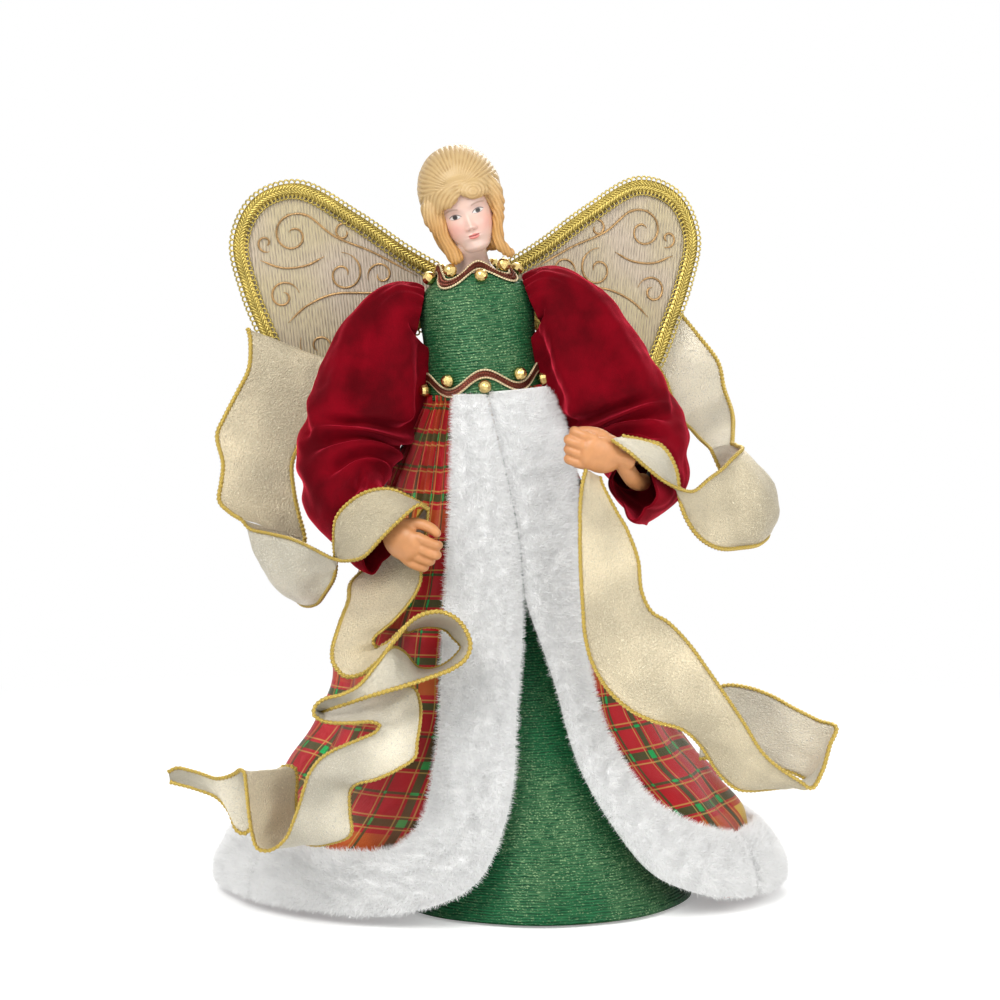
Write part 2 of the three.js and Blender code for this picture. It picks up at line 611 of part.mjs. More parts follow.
// Ribbons: rows of centre, span across as a share of the full width, and belly between the edges. The
// centres are offsets from a point that passes from one fixing to the next over the first few rows.
const furTop = FUR.seat + FUR.thickness;
const skirtAt = {
  right: bell(degToRad(-40), 0.6, furTop),
  left: bell(degToRad(45), 0.6, furTop),
};
function ribbon(name, from, to, reach, rows) {
  const curve = (point) => new THREE.CatmullRomCurve3(rows.map(point));
  const base = (i) => from.clone().lerp(to, Math.min(i / reach, 1));
  const centres = curve((row, i) => base(i).add(V(row[0], row[1], row[2])));
  const spans = curve((row) => V(row[3], row[4], row[5]).multiplyScalar(RIBBON.width));
  const bellies = curve((row) => V(row[6] ?? 0, row[7] ?? 0, row[8] ?? 0));
  const at = (t, w) => {
    const p = centres.getPoint(t).addScaledVector(spans.getPoint(t), w);
    return p.addScaledVector(bellies.getPoint(t), 1 - 4 * w * w);
  };
  const out = (t, w) => {
    const run = at(Math.min(t + 0.002, 1), w).sub(at(Math.max(t - 0.002, 0), w));
    return run.cross(at(t, w + 0.1).sub(at(t, w - 0.1))).normalize();
  };
  const steps = 2 * (rows.length - 1);
  const trim = (t) => (1.3 * GAP) / at(t, 0).distanceTo(at(t + 0.01, 0)) / 100;
  const [start, end] = [trim(0), 1 - trim(0.99)];
  const widths = rows.some((row) => row.length > 6) ? [-0.5, 0, 0.5] : [-0.5, 0.5];
  const grid = (depth) =>
    Array.from({ length: steps + 1 }, (_, i) => {
      const t = lerp(start, end, i / steps);
      return widths.map((w) => at(t, w).addScaledVector(out(t, w), depth * RIBBON.thickness));
    });
  add(name, slab(grid(0.5), grid(-0.5)), "ribbon", root);
}

ribbon("ribbon_right_drop", elbowAt.right, elbowAt.right, 1, [
    [-20.5, 30, 29.1, 0.75, -0.05, -0.36], [-22.3, 30, 34.9, 0.87, -0.05, -0.36],
    [-22.7, 27, 39.1, 0.92, -0.05, -0.35], [-22.3, 24.2, 35.5, 0.88, -0.04, -0.35],
    [-24.4, 22.5, 25.6, 0.8, -0.03, -0.22], [-32.8, 20.5, 6.7, 0.87, -0.03, -0.17],
    [-35.9, 18.5, -0.2, 0.88, -0.03, -0.13], [-35.7, 16, -9.8, 0.75, 0, -0.01],
    [-34.8, 10.5, -27, 0.86, 0.03, -0.17], [-28.9, 4.5, -35.5, 0.68, 0.24, -0.26],
]);
ribbon("ribbon_right_wrap", elbowAt.right, handAt.right, 7, [
    [-28.9, 4.5, -35.5, 0.68, 0.24, -0.26], [-32.9, 11.5, -42.7, 0.39, 0.5, -0.68, -4.8, -2.5, -0.9],
    [-29.8, 11, -42.2, 0.32, 0.42, -0.81, -4.6, -2, -4.6],
    [-23.8, 5.5, -38.1, 0.22, 0.29, -0.75, -3.3, -2.5, -4.9], [-13.1, -7.5, -29.1, 0, 0.18, -0.18],
    [-13.4, -9, -17.6, -0.13, 0.16, 0.19], [-11.8, -8.5, -6.7, -0.27, 0.18, 0.42],
    [-6.1, -5.2, 5.9, -0.21, 0.2, 0.44], [3, -6.4, 10.8, -0.13, 0.23, 0.29],
    [10.6, -4, 11.5, -0.08, 0.26, 0.05], [15.2, 2.8, 8.4, -0.04, 0.22, 0.01],
]);
ribbon("ribbon_right_tail", handAt.right, skirtAt.right, 4, [
    [15.2, 2.8, 7.8, 0.04, -0.22, -0.01], [12.6, 4.9, 15.6, 0.21, -0.46, 0.01],
    [7.6, 4.6, 24.1, 0.5, -0.68, 0.08], [4.6, -1.1, 34.6, 0.73, -0.42, 0.04],
    [3.9, -12.5, 46.3, 0.64, -0.11, -0.01], [-5.6, -29.5, 31.6, 0.42, 0.16, 0.08],
    [-4.2, -30.5, 27.4, 0.44, 0.32, 0.12], [-0.8, -31.5, 25.8, 0.39, 0.37, 0.27],
    [8.2, -31.5, 30.9, 0.18, 0.37, 0.23], [12.3, -32.5, 36, 0.11, 0.32, 0.12],
    [17, -24.5, 38.3, -0.07, 0.74, -0.23], [27.8, -24.5, 40.9, -0.1, 0.74, -0.26],
    [38.7, -28.2, 31, -0.1, 0.54, -0.1], [36.7, -29, 26.7, -0.12, 0.55, -0.06],
    [26.4, -27.5, 20.6, -0.07, 0.74, -0.05], [20.8, -29.5, 20.1, -0.06, 0.68, 0.02],
    [15.8, -34, 23.2, -0.08, 0.5, 0.25], [11, -40.5, 24.2, -0.09, 0.21, 0.38],
    [-1.2, -44, 15.7, -0.07, -0.03, 0.13], [-14.9, -44.5, 10.7, -0.05, -0.11, 0.12],
    [-18.4, -38.5, 6.7, -0.07, -0.53, 0.04], [-6.2, -35, 6.8, -0.27, -0.66, -0.16],
    [9.8, -35, 8.7, -0.42, -0.55, -0.26], [13, -36.5, 5.2, -0.41, -0.42, -0.15],
    [9.2, -43, -3.7, -0.55, -0.24, 0.08], [5.8, -44.5, -7.8, -0.7, -0.21, 0.16],
    [-7, -47, -14.6, -0.57, -0.18, 0.23], [-12.8, -47, -18.4, -0.47, -0.24, 0.15],
    [-14.9, -45, -22.5, -0.44, -0.34, 0.14], [-17.2, -43.5, -38.5, -0.57, -0.42, 0.21],
    [-28.2, -39.5, -46.4, -0.33, -0.53, 0.09], [-32.7, -37.5, -46.2, -0.3, -0.58, -0.01],
    [-35.5, -36, -41.3, -0.36, -0.61, -0.22], [-36.7, -35.5, -26.9, -0.46, -0.58, -0.24],
    [-40.6, -36, -17.1, -0.36, -0.45, 0.03], [-51.7, -32, -31.7, -0.17, -0.08, 0.6],
    [-64.9, -24, -24.8, -0.25, 0.03, 0.27], [-79.2, -19.5, -22.9, -0.02, 0, 0.11],
]);
ribbon("ribbon_left_drop", wingAt.left, elbowAt.left, 4, [
    [61.2, 24.5, -10.3, 0, -0.02, -0.61], [56, 39.7, -7.5, -0.15, -0.05, -0.67],
    [50.2, 48.1, -5.2, -0.33, -0.11, -0.57], [40.6, 50.6, 0.8, -0.51, -0.11, -0.42],
    [28.1, 51, 6.8, -0.49, -0.11, -0.33], [31.6, 42, 0.1, -0.46, -0.05, -0.18],
    [34.4, 22, -9.2, -0.23, 0.05, -0.06],
]);
ribbon("ribbon_left_loop", elbowAt.left, handAt.left, 6, [
    [34.4, 22, -9.2, -0.23, 0.05, -0.06], [44.3, 26, -22.9, 0.12, 0.42, -0.85, 14.2, -2, -4.3],
    [50.8, 22, -23.5, 0.32, 0.37, -0.94, 8.5, -1, -3.7], [48.5, 17, -24.8, 0.29, 0.16, -0.97, 6.7, 0, -2],
    [35, 6, -27.2, 0.11, 0.05, -0.73], [29.2, 6, -24.7, 0.04, 0.05, -0.47],
    [24.8, 7.5, -16.9, 0.03, 0.08, -0.21], [19.7, 4, -7.2, 0.15, 0.16, 0.09],
    [13.4, 0.5, 0.7, 0.18, 0.18, 0.19], [6.5, -3, 4.9, 0.18, 0.21, 0.09],
    [-1.4, -3.5, 8.2, 0.12, 0.18, 0.02],
]);
ribbon("ribbon_left_tail", handAt.left, skirtAt.left, 5, [
    [-10.6, -4, -5.8, 0.15, 0.16, -0.09], [-11.8, -10.4, 10.8, 0.21, 0.18, -0.06],
    [-11.3, -16.8, 21.7, 0.37, 0.21, -0.02], [-7.8, -26.7, 19.9, 0.59, 0.21, 0.13],
    [-7.8, -32.1, 27.4, 0.61, 0.18, 0.16], [-6.7, -36.6, 39.2, 0.69, 0.16, 0.22],
    [-2.2, -37.6, 32.1, 0.78, 0.16, 0.39], [5.4, -38.1, 21.9, 0.84, 0.13, 0.46],
    [13.5, -37.6, 12.9, 0.78, 0.11, 0.41], [30.6, -35.1, -1.6, 0.64, 0.08, 0.05],
    [37.9, -32.6, -11, 0.64, 0, -0.07], [53, -26.6, -26.5, 0.61, -0.11, 0.12],
    [61.5, -22.6, -28.9, 0.48, -0.16, 0.04], [69, -16.6, -26.2, 0.32, -0.16, 0.18],
    [74.4, -10.1, -22.5, 0.23, -0.18, 0.49], [76.8, -4.1, -18.7, 0.26, -0.18, 0.62],
    [71.9, 1.4, -17.1, 0.17, -0.16, 0.63], [62.9, 5.9, -13.6, 0.11, -0.13, 0.68],
    [45.9, 11.9, -6.4, 0.05, -0.08, 0.67], [36.7, 13.4, -8.3, 0.03, -0.05, 0.78],
    [29, 13.9, -11.7, 0.04, -0.03, 0.65],
]);

// The frame's origin: middle of the footprint, at the lowest point.
const box = new THREE.Box3().setFromObject(root, true);
root.position.set(-(box.min.x + box.max.x) / 2, -(box.min.y + box.max.y) / 2, -box.min.z);
const topper = new THREE.Group();
topper.name = "angel_tree_topper";
topper.add(root);

export default topper;
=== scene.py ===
"""Dresses the angel tree topper: cloth, fur, ribbon, head, hands, wings and trimmings round the packed solids.

Shapes are worked out in millimetres in the doll maker's own frame and put into metres in the packed frame.
"""

import json
import math

import bpy
import numpy as np
from bpy.props import FloatProperty, FloatVectorProperty, IntProperty, PointerProperty
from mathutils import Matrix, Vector


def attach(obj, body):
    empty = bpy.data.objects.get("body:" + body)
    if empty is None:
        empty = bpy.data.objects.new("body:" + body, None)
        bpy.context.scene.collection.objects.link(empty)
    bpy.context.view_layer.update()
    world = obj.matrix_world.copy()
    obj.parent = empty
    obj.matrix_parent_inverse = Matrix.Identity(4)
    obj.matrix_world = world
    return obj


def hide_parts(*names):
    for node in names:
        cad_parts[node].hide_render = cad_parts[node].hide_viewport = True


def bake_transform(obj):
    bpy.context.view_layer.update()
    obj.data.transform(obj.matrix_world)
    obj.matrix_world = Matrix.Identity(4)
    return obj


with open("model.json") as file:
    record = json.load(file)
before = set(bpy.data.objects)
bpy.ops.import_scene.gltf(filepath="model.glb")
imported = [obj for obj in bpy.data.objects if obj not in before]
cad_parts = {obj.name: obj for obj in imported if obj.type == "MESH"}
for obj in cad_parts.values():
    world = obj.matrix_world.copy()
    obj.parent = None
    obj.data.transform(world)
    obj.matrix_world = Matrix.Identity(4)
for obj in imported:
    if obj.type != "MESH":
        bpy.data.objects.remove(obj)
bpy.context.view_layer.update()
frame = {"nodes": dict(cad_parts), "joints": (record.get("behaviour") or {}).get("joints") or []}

bl_info = {
    "name": "Angel tree topper dressing",
    "version": (1, 0, 0),
    "blender": (4, 5, 0),
    "location": "3D View > Sidebar > Topper",
    "description": "Dresses the tree topper's packed solids in cloth, fur, ribbon and trimmings",
    "category": "Add Mesh",
}

# How far the doll leans on its cone and where its foot stands; heights of its waist and shoulders, how far out the
# shoulders lie, and the bodice's half width and half depth at heights over the waist.
LEAN = math.radians(5.8)
FOOT_AT = 15.0
WAIST, SHOULDER, SHOULDER_OUT = 208.0, 243.0, 23.0
BODICE_WIDTH = [[0, 24.15], [6, 23.46], [22, 23], [38, 23.46], [44, 21.85], [49, 17.25], [52, 14.26], [60, 11.5]]
BODICE_DEPTH = [[0, 18.36], [6, 17.68], [22, 17.51], [38, 16.66], [44, 15.3], [49, 13.09], [52, 11.56], [60, 9.86]]

# Which way each side lies.
SIGN = {"right": -1, "left": 1}

# Arm wires from the shoulder, and the sleeve's two radii at points of the wire.
ARM_WIRE = {
    "right": [
        (9, 0, 0), (0, 0, 0), (-8, -1, 2), (-17, -3, -8), (-28, -7, -28),
        (-37, -13, -47), (-39, -26, -64), (-33, -38, -75), (-26, -47, -80), (-20, -55, -79),
    ],
    "left": [
        (-9, 0, 0), (0, 0, 0), (8, -1, 2), (18, -3, -10), (29, -7, -32),
        (39, -13, -53), (41, -26, -67), (37, -38, -72), (33, -47, -70), (28, -55, -60),
    ],
}
SLEEVE_FRONT = [[1.15, 11], [2, 14], [3, 15], [4, 15.5], [5, 16], [6, 16.5], [7, 15.5], [8, 17]]
SLEEVE_SIDE = [[1.15, 12.5], [2, 14.5], [3, 17], [4, 18.5], [5, 18], [6, 15.5], [7, 12.5], [8, 9.5]]

# Bell of the overskirt: half width and half depth at the waist, how far each grows, and shares of that growth at steps
# from waist to hem; how far the hem lies back, and the front edges in degrees.
BELL = [
    (23, 89, [[0, 0], [0.23, 0.25], [0.46, 0.48], [0.61, 0.54], [0.76, 0.75], [0.94, 1], [1, 1.04]]),
    (16.6, 61.4, [[0, 0], [0.23, 0.34], [0.46, 0.62], [0.61, 0.72], [0.76, 0.84], [0.94, 1], [1, 1.03]]),
]
BELL_BACK = 13
RIGHT_EDGE = [[-0.03, -15], [0.12, -6], [0.23, -2], [0.52, -3], [0.71, -6], [0.85, -12], [0.93, -24], [1, -34]]
LEFT_EDGE = [[-0.03, 50], [0.23, 34], [0.44, 27], [0.7, 30], [0.82, 37], [0.92, 48], [1, 56]]

# Fur bands: both edges as steps down the bell and degrees from the front, row after row.
FUR_EDGES = {
    "front_right": [
        (-0.02, -30, -0.015, 1.7), (0.113, -21.7, 0.124, 11.3), (0.25, -18.5, 0.256, 14.7), (0.4, -17.3, 0.38, 12.9),
        (0.568, -17.9, 0.57, 8.1), (0.7, -17.9, 0.721, 4.9), (0.797, -18.7, 0.824, 1.1), (0.85, -24.1, 0.906, -3.5),
        (0.864, -34.1, 0.957, -12.1), (0.868, -46, 0.98, -25), (0.866, -54, 0.984, -44), (0.866, -60, 0.984, -59),
    ],
    "front_left": [
        (-0.015, 84, -0.019, 1.4), (0.124, 64.2, 0.124, 11), (0.27, 44.5, 0.256, 14.5), (0.4, 35, 0.374, 13.4),
        (0.498, 32.6, 0.473, 17.3), (0.582, 34.1, 0.574, 21.7), (0.666, 35.7, 0.713, 23.5),
        (0.753, 38.9, 0.818, 27.7), (0.814, 47, 0.904, 32.9), (0.85, 58, 0.957, 43.5), (0.866, 65.4, 0.984, 62),
    ],
    "hem": [(0.866, -58.6 - 237 * i / 11, 0.984, -57.5 - 240 * i / 11) for i in range(12)],
}

# Wing outline from its root, outwards and up; where the root lies, how each wing sweeps back and turns in its plane,
# and the pitch of the pleats.
WING_OUTLINE = [
    (4, 6), (18, 16), (37, 32), (60, 47), (78, 43), (88, 27), (86, 6),
    (81, -12), (75, -30), (66, -42), (48, -36), (26, -22), (4.5, -9),
]
WING_ROOT = (9.0, 20.75, 255.0)
WING_SWEEP = {"right": math.radians(4), "left": math.radians(22)}
WING_TURN = {"right": 0.0, "left": math.radians(-11.6)}
PLEAT = 1.25

# Ribbons: one edge, the other edge, and where it bellies a point between, row after row.
RIBBONS = {
    "right_drop": [
        (-99.1, 18, 224.9, -70.8, 16, 211.2), (-103.3, 18, 230.7, -70.3, 16, 217.1),
        (-104.7, 15, 234.6, -69.7, 13, 221.4), (-103.6, 12, 231, -70, 10.5, 217.8),
        (-104, 10, 218.7, -73.7, 9, 210.4), (-108.5, 9, 209.2, -76.6, 8, 200.6),
        (-113.9, 8, 198.9, -80.8, 7, 192.3), (-117.1, 6, 191.2, -83.6, 5, 186.3),
        (-114.5, 3, 179.4, -86, 3, 179), (-115.1, 0, 171.8, -85, 0, 168.1),
        (-115.7, -3, 165.1, -82.9, -2, 158.7), (-111.2, -8, 160.6, -81.2, -3, 152.6),
        (-106.3, -13, 158.3, -80.4, -4, 148.6),
    ],
    "right_wrap": [
        (-106.3, -13, 158.3, -80.4, -4, 148.6), (-102, -17, 154.8, -87.1, 2, 129.1, -99.3, -10, 141),
        (-94.7, -22, 153.5, -82.5, -6, 122.7, -93.2, -16, 133.5),
        (-83.9, -31, 152.1, -75.5, -20, 123.8, -83, -28, 133), (-74.2, -40, 148.9, -70.3, -32, 130.7),
        (-66.1, -48, 146.1, -66.1, -41, 139.2), (-61, -55, 146.2, -66, -49, 153.4),
        (-54, -61, 148.5, -64.1, -54, 164.4), (-46.4, -64, 156.4, -54.5, -56.5, 173),
        (-38.8, -65.8, 164.1, -43.8, -57, 175), (-32.2, -64, 169.4, -35.2, -54, 171.2),
        (-28.4, -56.5, 167, -29.8, -48, 167.3),
    ],
    "right_tail": [
        (-29.8, -48, 166.7, -28.4, -56.5, 166.4), (-37.7, -38, 155.4, -29.7, -55.5, 155.8),
        (-50.1, -30.7, 143.6, -31.3, -56.6, 146.8), (-59.5, -38, 136, -31.7, -54, 137.6),
        (-60.4, -52, 129.8, -36.1, -56, 129.5), (-63.4, -66, 121.8, -42.6, -62, 122.8),
        (-65.7, -74, 113.4, -49.9, -68, 116.5), (-64.8, -78, 108.5, -48, -66, 113),
        (-60.4, -80, 104.1, -45.7, -66, 114.2), (-53.8, -80, 104.9, -43.3, -66, 115.8),
        (-47.5, -80, 110, -40.5, -66, 118.6), (-42, -80, 117.1, -37.7, -68, 121.6),
        (-33.8, -80, 126.1, -36.6, -52, 117.3), (-28, -80, 128.7, -31.9, -51, 118.8),
        (-22.6, -80, 129.3, -26.3, -52, 119.3), (-17.1, -80, 126.9, -21.4, -55, 118.2),
        (-13.2, -80, 122.2, -18.6, -58, 115.8), (-11.5, -80, 116.3, -15.4, -59.5, 112.4),
        (-13.2, -81, 111.3, -17.8, -60, 108.9), (-18.7, -82, 107.2, -21.8, -58, 105.4),
        (-24.5, -83, 105, -27, -55, 102.9), (-30.3, -84, 103.2, -32.5, -58, 103.8),
        (-34.9, -85, 101.8, -37.8, -66, 111.4), (-39.6, -86, 100.4, -42.9, -78, 114.8),
        (-45, -86, 98.8, -48.5, -84, 108.7), (-52, -85, 96.7, -54.7, -86, 101.5),
        (-59.1, -84, 94.1, -61.2, -88, 98.3), (-66.1, -84, 91.8, -68.2, -88, 96.4),
        (-69.4, -80, 90.3, -71.6, -89, 93.8), (-69.2, -70, 89.4, -72, -90, 90.8),
        (-63.1, -66, 91.1, -69.3, -90, 88.5), (-53.3, -64, 93.1, -63.5, -89, 87.1),
        (-42.7, -64, 95.9, -56.6, -88, 87), (-34.3, -66, 97.1, -50.4, -87, 87.2),
        (-31.5, -70, 91.4, -47, -86, 85.8), (-31.3, -76, 85.2, -48.1, -88, 83.8),
        (-32.4, -80, 78, -53.5, -89, 81.2), (-33.2, -82, 72.5, -59.7, -90, 78.7),
        (-39.7, -84, 68.1, -65, -91, 76.5), (-48.3, -85, 64.3, -70, -92, 73.2),
        (-56.1, -84, 62.2, -73.9, -93, 67.9), (-58.7, -80, 58.2, -75.5, -93, 63.5),
        (-58.8, -78, 49.9, -77.4, -93, 56.9), (-58.5, -77, 40.9, -80.2, -93, 49),
        (-65, -74, 37, -83, -92, 42.5), (-74.2, -71, 35.2, -86.6, -91, 38.7),
        (-79.1, -68, 37.4, -90.6, -90, 36.9), (-80.8, -66, 46.2, -94.5, -89, 37.9),
        (-80.7, -66, 54.2, -96.5, -88.5, 44.1), (-80.3, -66, 61.1, -97.6, -88, 51.9),
        (-81.4, -67, 65.3, -98.6, -87.5, 60.5), (-86, -69, 65.6, -99.6, -86, 66.9),
        (-91.5, -70, 56.2, -101.5, -82, 67.3), (-96.3, -71, 45.2, -103.4, -78, 65.4),
        (-100.6, -72, 40.2, -107.2, -75, 63.2), (-103.8, -71, 41.2, -111.8, -72, 62),
        (-107, -69, 48, -116.5, -68, 62.6), (-112.4, -66, 53.4, -121.9, -65, 63.7),
        (-120.2, -63, 56.1, -128.1, -62, 64.3), (-131.1, -61, 58.5, -131.8, -61, 62.5),
    ],
    "left_drop": [
        (59.4, 45.6, 256, 59.5, 45, 232.7), (71.7, 53, 245.1, 66.2, 51, 219.6),
        (84.3, 54, 230.5, 71.8, 50, 208.9), (92.9, 48, 218.9, 73.6, 44, 202.9),
        (95, 40, 208.3, 76.2, 36, 195.9), (97.7, 30, 198.9, 80.4, 28, 191.9),
        (97.3, 18, 192.3, 84, 18, 188.1), (96.2, 8, 187.3, 87.6, 10, 185),
    ],
    "left_loop": [
        (96.2, 8, 187.3, 87.6, 10, 185), (97.9, -2, 187.3, 102.3, 14, 154.9, 114.3, 4, 166.8),
        (98.8, -12, 186.9, 110.9, 2, 151.2, 113.4, -6, 165.4),
        (95.4, -20, 184.8, 106.3, -14, 148.1, 107.6, -17, 164.5), (89.6, -28, 180.2, 98.2, -24, 147.7),
        (83.4, -36, 176.6, 87.8, -34, 148.8), (77.4, -43, 172.8, 78.9, -41, 154.9),
        (71.5, -49, 174.2, 72.5, -46, 166.3), (64.1, -54, 178.3, 69.9, -48, 181.7),
        (57.1, -58, 184.2, 64.1, -51, 191.5), (50.2, -62, 190.5, 57.3, -54, 193.8),
        (43.6, -62, 195.1, 48.1, -55, 195.9),
    ],
    "left_tail": [
        (33.8, -62, 183.2, 39.5, -56, 179.7), (32.5, -66, 178.7, 40.6, -59, 176.4),
        (31.3, -70, 168.5, 45.2, -62, 167.6), (31.2, -74, 156.8, 50.2, -66, 159),
        (31.5, -77, 143.4, 54.1, -69, 148.3), (32.3, -79, 129.9, 55.5, -72, 136),
        (33.1, -80, 120.2, 59.4, -74, 128.4), (35.8, -81, 109.8, 65.6, -75, 124.6),
        (42.5, -81, 98.4, 74.2, -76, 115.7), (51.5, -80, 90.3, 81.3, -76, 105.8),
        (60.9, -79, 85.8, 88.5, -75, 95.4), (71.2, -77, 82.6, 95.7, -74, 84.5),
        (78.6, -73, 75.6, 103, -73, 72.8), (86, -69, 64, 111.1, -71, 65.2),
        (94.2, -65, 56.4, 117.6, -69, 60.8), (105.4, -60, 55.5, 123.4, -66, 57),
        (115.8, -54, 55.5, 128, -60, 62.3), (122.9, -47, 53.3, 131.6, -54, 72.1),
        (124.7, -41, 54.6, 134.6, -48, 78.3), (121.5, -36, 56.1, 128, -42, 80.1),
        (113.8, -32, 58.6, 117.9, -37, 84.5), (105.8, -29, 62.6, 109.3, -33, 88.8),
        (97.8, -27, 65.9, 99.8, -30, 91.6), (89, -26, 62, 90.2, -28, 91.6),
        (81.2, -26, 61.2, 82.6, -27, 85.7),
    ],
}

# The point between the eyes, how far the head tips to its right and nods, and how far out the eyes lie.
FACE_AT = (-13.48, -17.0, 282.34)
FACE_TIP, FACE_NOD = math.radians(18.5), math.radians(5)
EYE_OUT = 4.75


def to_root(p):
    """Points of the leaning doll in the upright frame."""
    p = np.asarray(p, float)
    c, s = math.cos(LEAN), math.sin(LEAN)
    return np.stack([FOOT_AT + p[..., 0] * c - p[..., 2] * s, p[..., 1], p[..., 0] * s + p[..., 2] * c], -1)


ARM_JOINT = next(j["pos_m"] for j in frame["joints"] if j["name"] == "arm_right_raise")
SHIFT = np.array(ARM_JOINT) * 1000 - to_root((-SHOULDER_OUT, 0, SHOULDER))


def place(points):
    """Millimetres of the upright frame as metres of the packed frame."""
    return (np.asarray(points, float) + SHIFT) / 1000


def through(rows, t):
    """Smooth values at t through rows of (t, value)."""
    x, y = np.array(rows, float).T
    last = len(x) - 1
    i = np.arange(last + 1)
    a, b = np.maximum(i - 1, 0), np.minimum(i + 1, last)
    slope = (y[b] - y[a]) / (x[b] - x[a])
    t = np.asarray(t, float)
    k = np.minimum(np.searchsorted(x[1:], t), last - 1)
    h, rise = x[k + 1] - x[k], y[k + 1] - y[k]
    s = np.clip((t - x[k]) / h, 0, 1)
    return y[k] + rise * s + s * (1 - s) * ((slope[k] * h - rise) * (1 - s) + (rise - slope[k + 1] * h) * s)


def spline(points, t):
    """Points at t (0 to 1) on a smooth curve through points."""
    p = np.asarray(points, float)
    n = len(p)
    p = np.vstack([2 * p[0] - p[1], p, 2 * p[-1] - p[-2]])
    x = np.clip(np.asarray(t, float), 0, 1) * (n - 1)
    i = np.minimum(x.astype(int), n - 2)
    w = (x - i)[..., None]
    a, b, c, d = p[i], p[i + 1], p[i + 2], p[i + 3]
    spans = (np.linalg.norm(v - u, axis=-1, keepdims=True) for u, v in ((a, b), (b, c), (c, d)))
    e, f, g = (np.maximum(span, 1e-6) ** 0.5 for span in spans)
    t1 = f * ((b - a) / e - (c - a) / (e + f) + (c - b) / f)
    t2 = f * ((c - b) / f - (d - b) / (f + g) + (d - c) / g)
    return b + w * (t1 + w * (3 * (c - b) - 2 * t1 - t2 + w * (2 * (b - c) + t1 + t2)))


def smooth(x, low, high):
    """0 below low, 1 above high, smooth between."""
    t = np.clip((np.asarray(x, float) - low) / (high - low), 0, 1)
    return t * t * (3 - 2 * t)


def hump(x, middle, width):
    """1 at the middle, falling off to both sides."""
    return np.exp(-(((x - middle) / width) ** 2))


def circle(count):
    """Angles of even steps round a circle."""
    return np.linspace(0, math.tau, count, endpoint=False)


def chart(*axes):
    """Coordinates spread over one grid, side by side."""
    return np.stack(np.broadcast_arrays(*axes), -1)


def unit(v):
    """Vectors brought to length 1."""
    return v / np.maximum(np.linalg.norm(v, axis=-1, keepdims=True), 1e-9)


def ripples(u, v, length, seed):
    """Irregular waves of about this length over two coordinates, between about -1 and 1."""
    rng = np.random.default_rng(seed)
    total = 0
    for _ in range(7):
        turn, stretch, phase = rng.uniform(0, math.tau), rng.uniform(0.7, 1.5), rng.uniform(0, math.tau)
        total = total + np.sin((u * math.cos(turn) + v * math.sin(turn)) * math.tau * stretch / length + phase)
    return total / 4


def bell_point(angle, s):
    """Points of the overskirt's bell at an angle from the front and a step from the waist (0) to the floor (1)."""
    ease, fold = s * s * (3 - 2 * s), fold_depth(angle, s)
    rx, ry = (waist + growth * through(shares, s) for waist, growth, shares in BELL)
    top = to_root((0, 0, WAIST - 0.3))
    z = (top[2] + rx * np.sin(angle) * math.sin(LEAN) * (1 - s)) * (1 - s)
    x = top[0] * (1 - ease) + (rx + fold) * np.sin(angle)
    return np.stack([x, BELL_BACK * ease - (ry + fold) * np.cos(angle), z], -1)


def fold_depth(angle, s):
    """Gathers of the overskirt: flat beside its front edges and at the waist, deepest halfway down."""
    turn = (angle + math.pi / 2) % math.tau - math.pi / 2
    away = np.where(turn > math.pi / 9, turn - front_edge(LEFT_EDGE, s), front_edge(RIGHT_EDGE, s) - turn)
    swell = smooth(s, 0, 0.35) * (1 - 0.6 * smooth(s, 0.8, 1))
    return 4.2 * swell * smooth(np.abs(away), 0.35, 0.9) * (np.cos(13 * angle) - 1) / 2


def front_edge(rows, s):
    """Angle of one of the overskirt's front edges at a step down the bell."""
    return np.radians(through(rows, s))


def bell(angle, s, offset=0.0):
    """Points on the overskirt's bell, pushed out along its surface."""
    angle, s = np.broadcast_arrays(np.asarray(angle, float), np.asarray(s, float))
    return pushed(bell_point, angle, s, -0.01, offset)


def on_bodice(angle, k, offset=0.0):
    """Points on the bodice at an angle from the front and a height over the waist."""

    def point(w, h):
        return np.stack([through(BODICE_WIDTH, h) * np.sin(w), -through(BODICE_DEPTH, h) * np.cos(w), WAIST + h], -1)

    angle, k = np.broadcast_arrays(np.asarray(angle, float), np.asarray(k, float))
    return to_root(pushed(point, angle, k, 0.5, offset))


def pushed(point, angle, level, rise, offset):
    """Points of a round surface, pushed out along it; rise is a small step upwards."""
    around = point(angle + 0.02, level) - point(angle - 0.02, level)
    up = point(angle, level + rise) - point(angle, level - rise)
    return point(angle, level) + unit(np.cross(around, up)) * np.asarray(offset)[..., None]


def frames_along(path, start):
    """Directions, normals and sides along a path, the normals carried on from a start."""
    run = unit(np.gradient(path, axis=0))
    normal = np.array(start, float)
    normals = []
    for direction in run:
        normal = unit(normal - direction * (normal @ direction))
        normals.append(normal)
    normals = np.array(normals)
    return run, normals, np.cross(run, normals)


def grid_normals(grid):
    """Directions straight out of a grid of points."""
    return unit(np.cross(np.gradient(grid, axis=1), np.gradient(grid, axis=0)))


def lengths(path):
    """Length along a path at each of its points."""
    return np.concatenate([[0], np.cumsum(np.linalg.norm(np.diff(path, axis=0), axis=-1))])


def stations(path, s):
    """Points at these lengths along a path."""
    arc = lengths(path)
    return np.stack([np.interp(s, arc, path[:, i]) for i in range(3)], -1)


def tube(path, radius, sides=6, start=(0, 1, 0), flat=1.0):
    """Points and faces of a rod along a path with closed ends; flat squeezes it along its normal."""
    path = np.asarray(path, float)
    _, normal, side = frames_along(path, start)
    radius = np.broadcast_to(np.asarray(radius, float), len(path))
    rings = path[:, None] + radius[:, None, None] * rims(normal * flat, side, sides)
    return loft(rings, lengths(path))


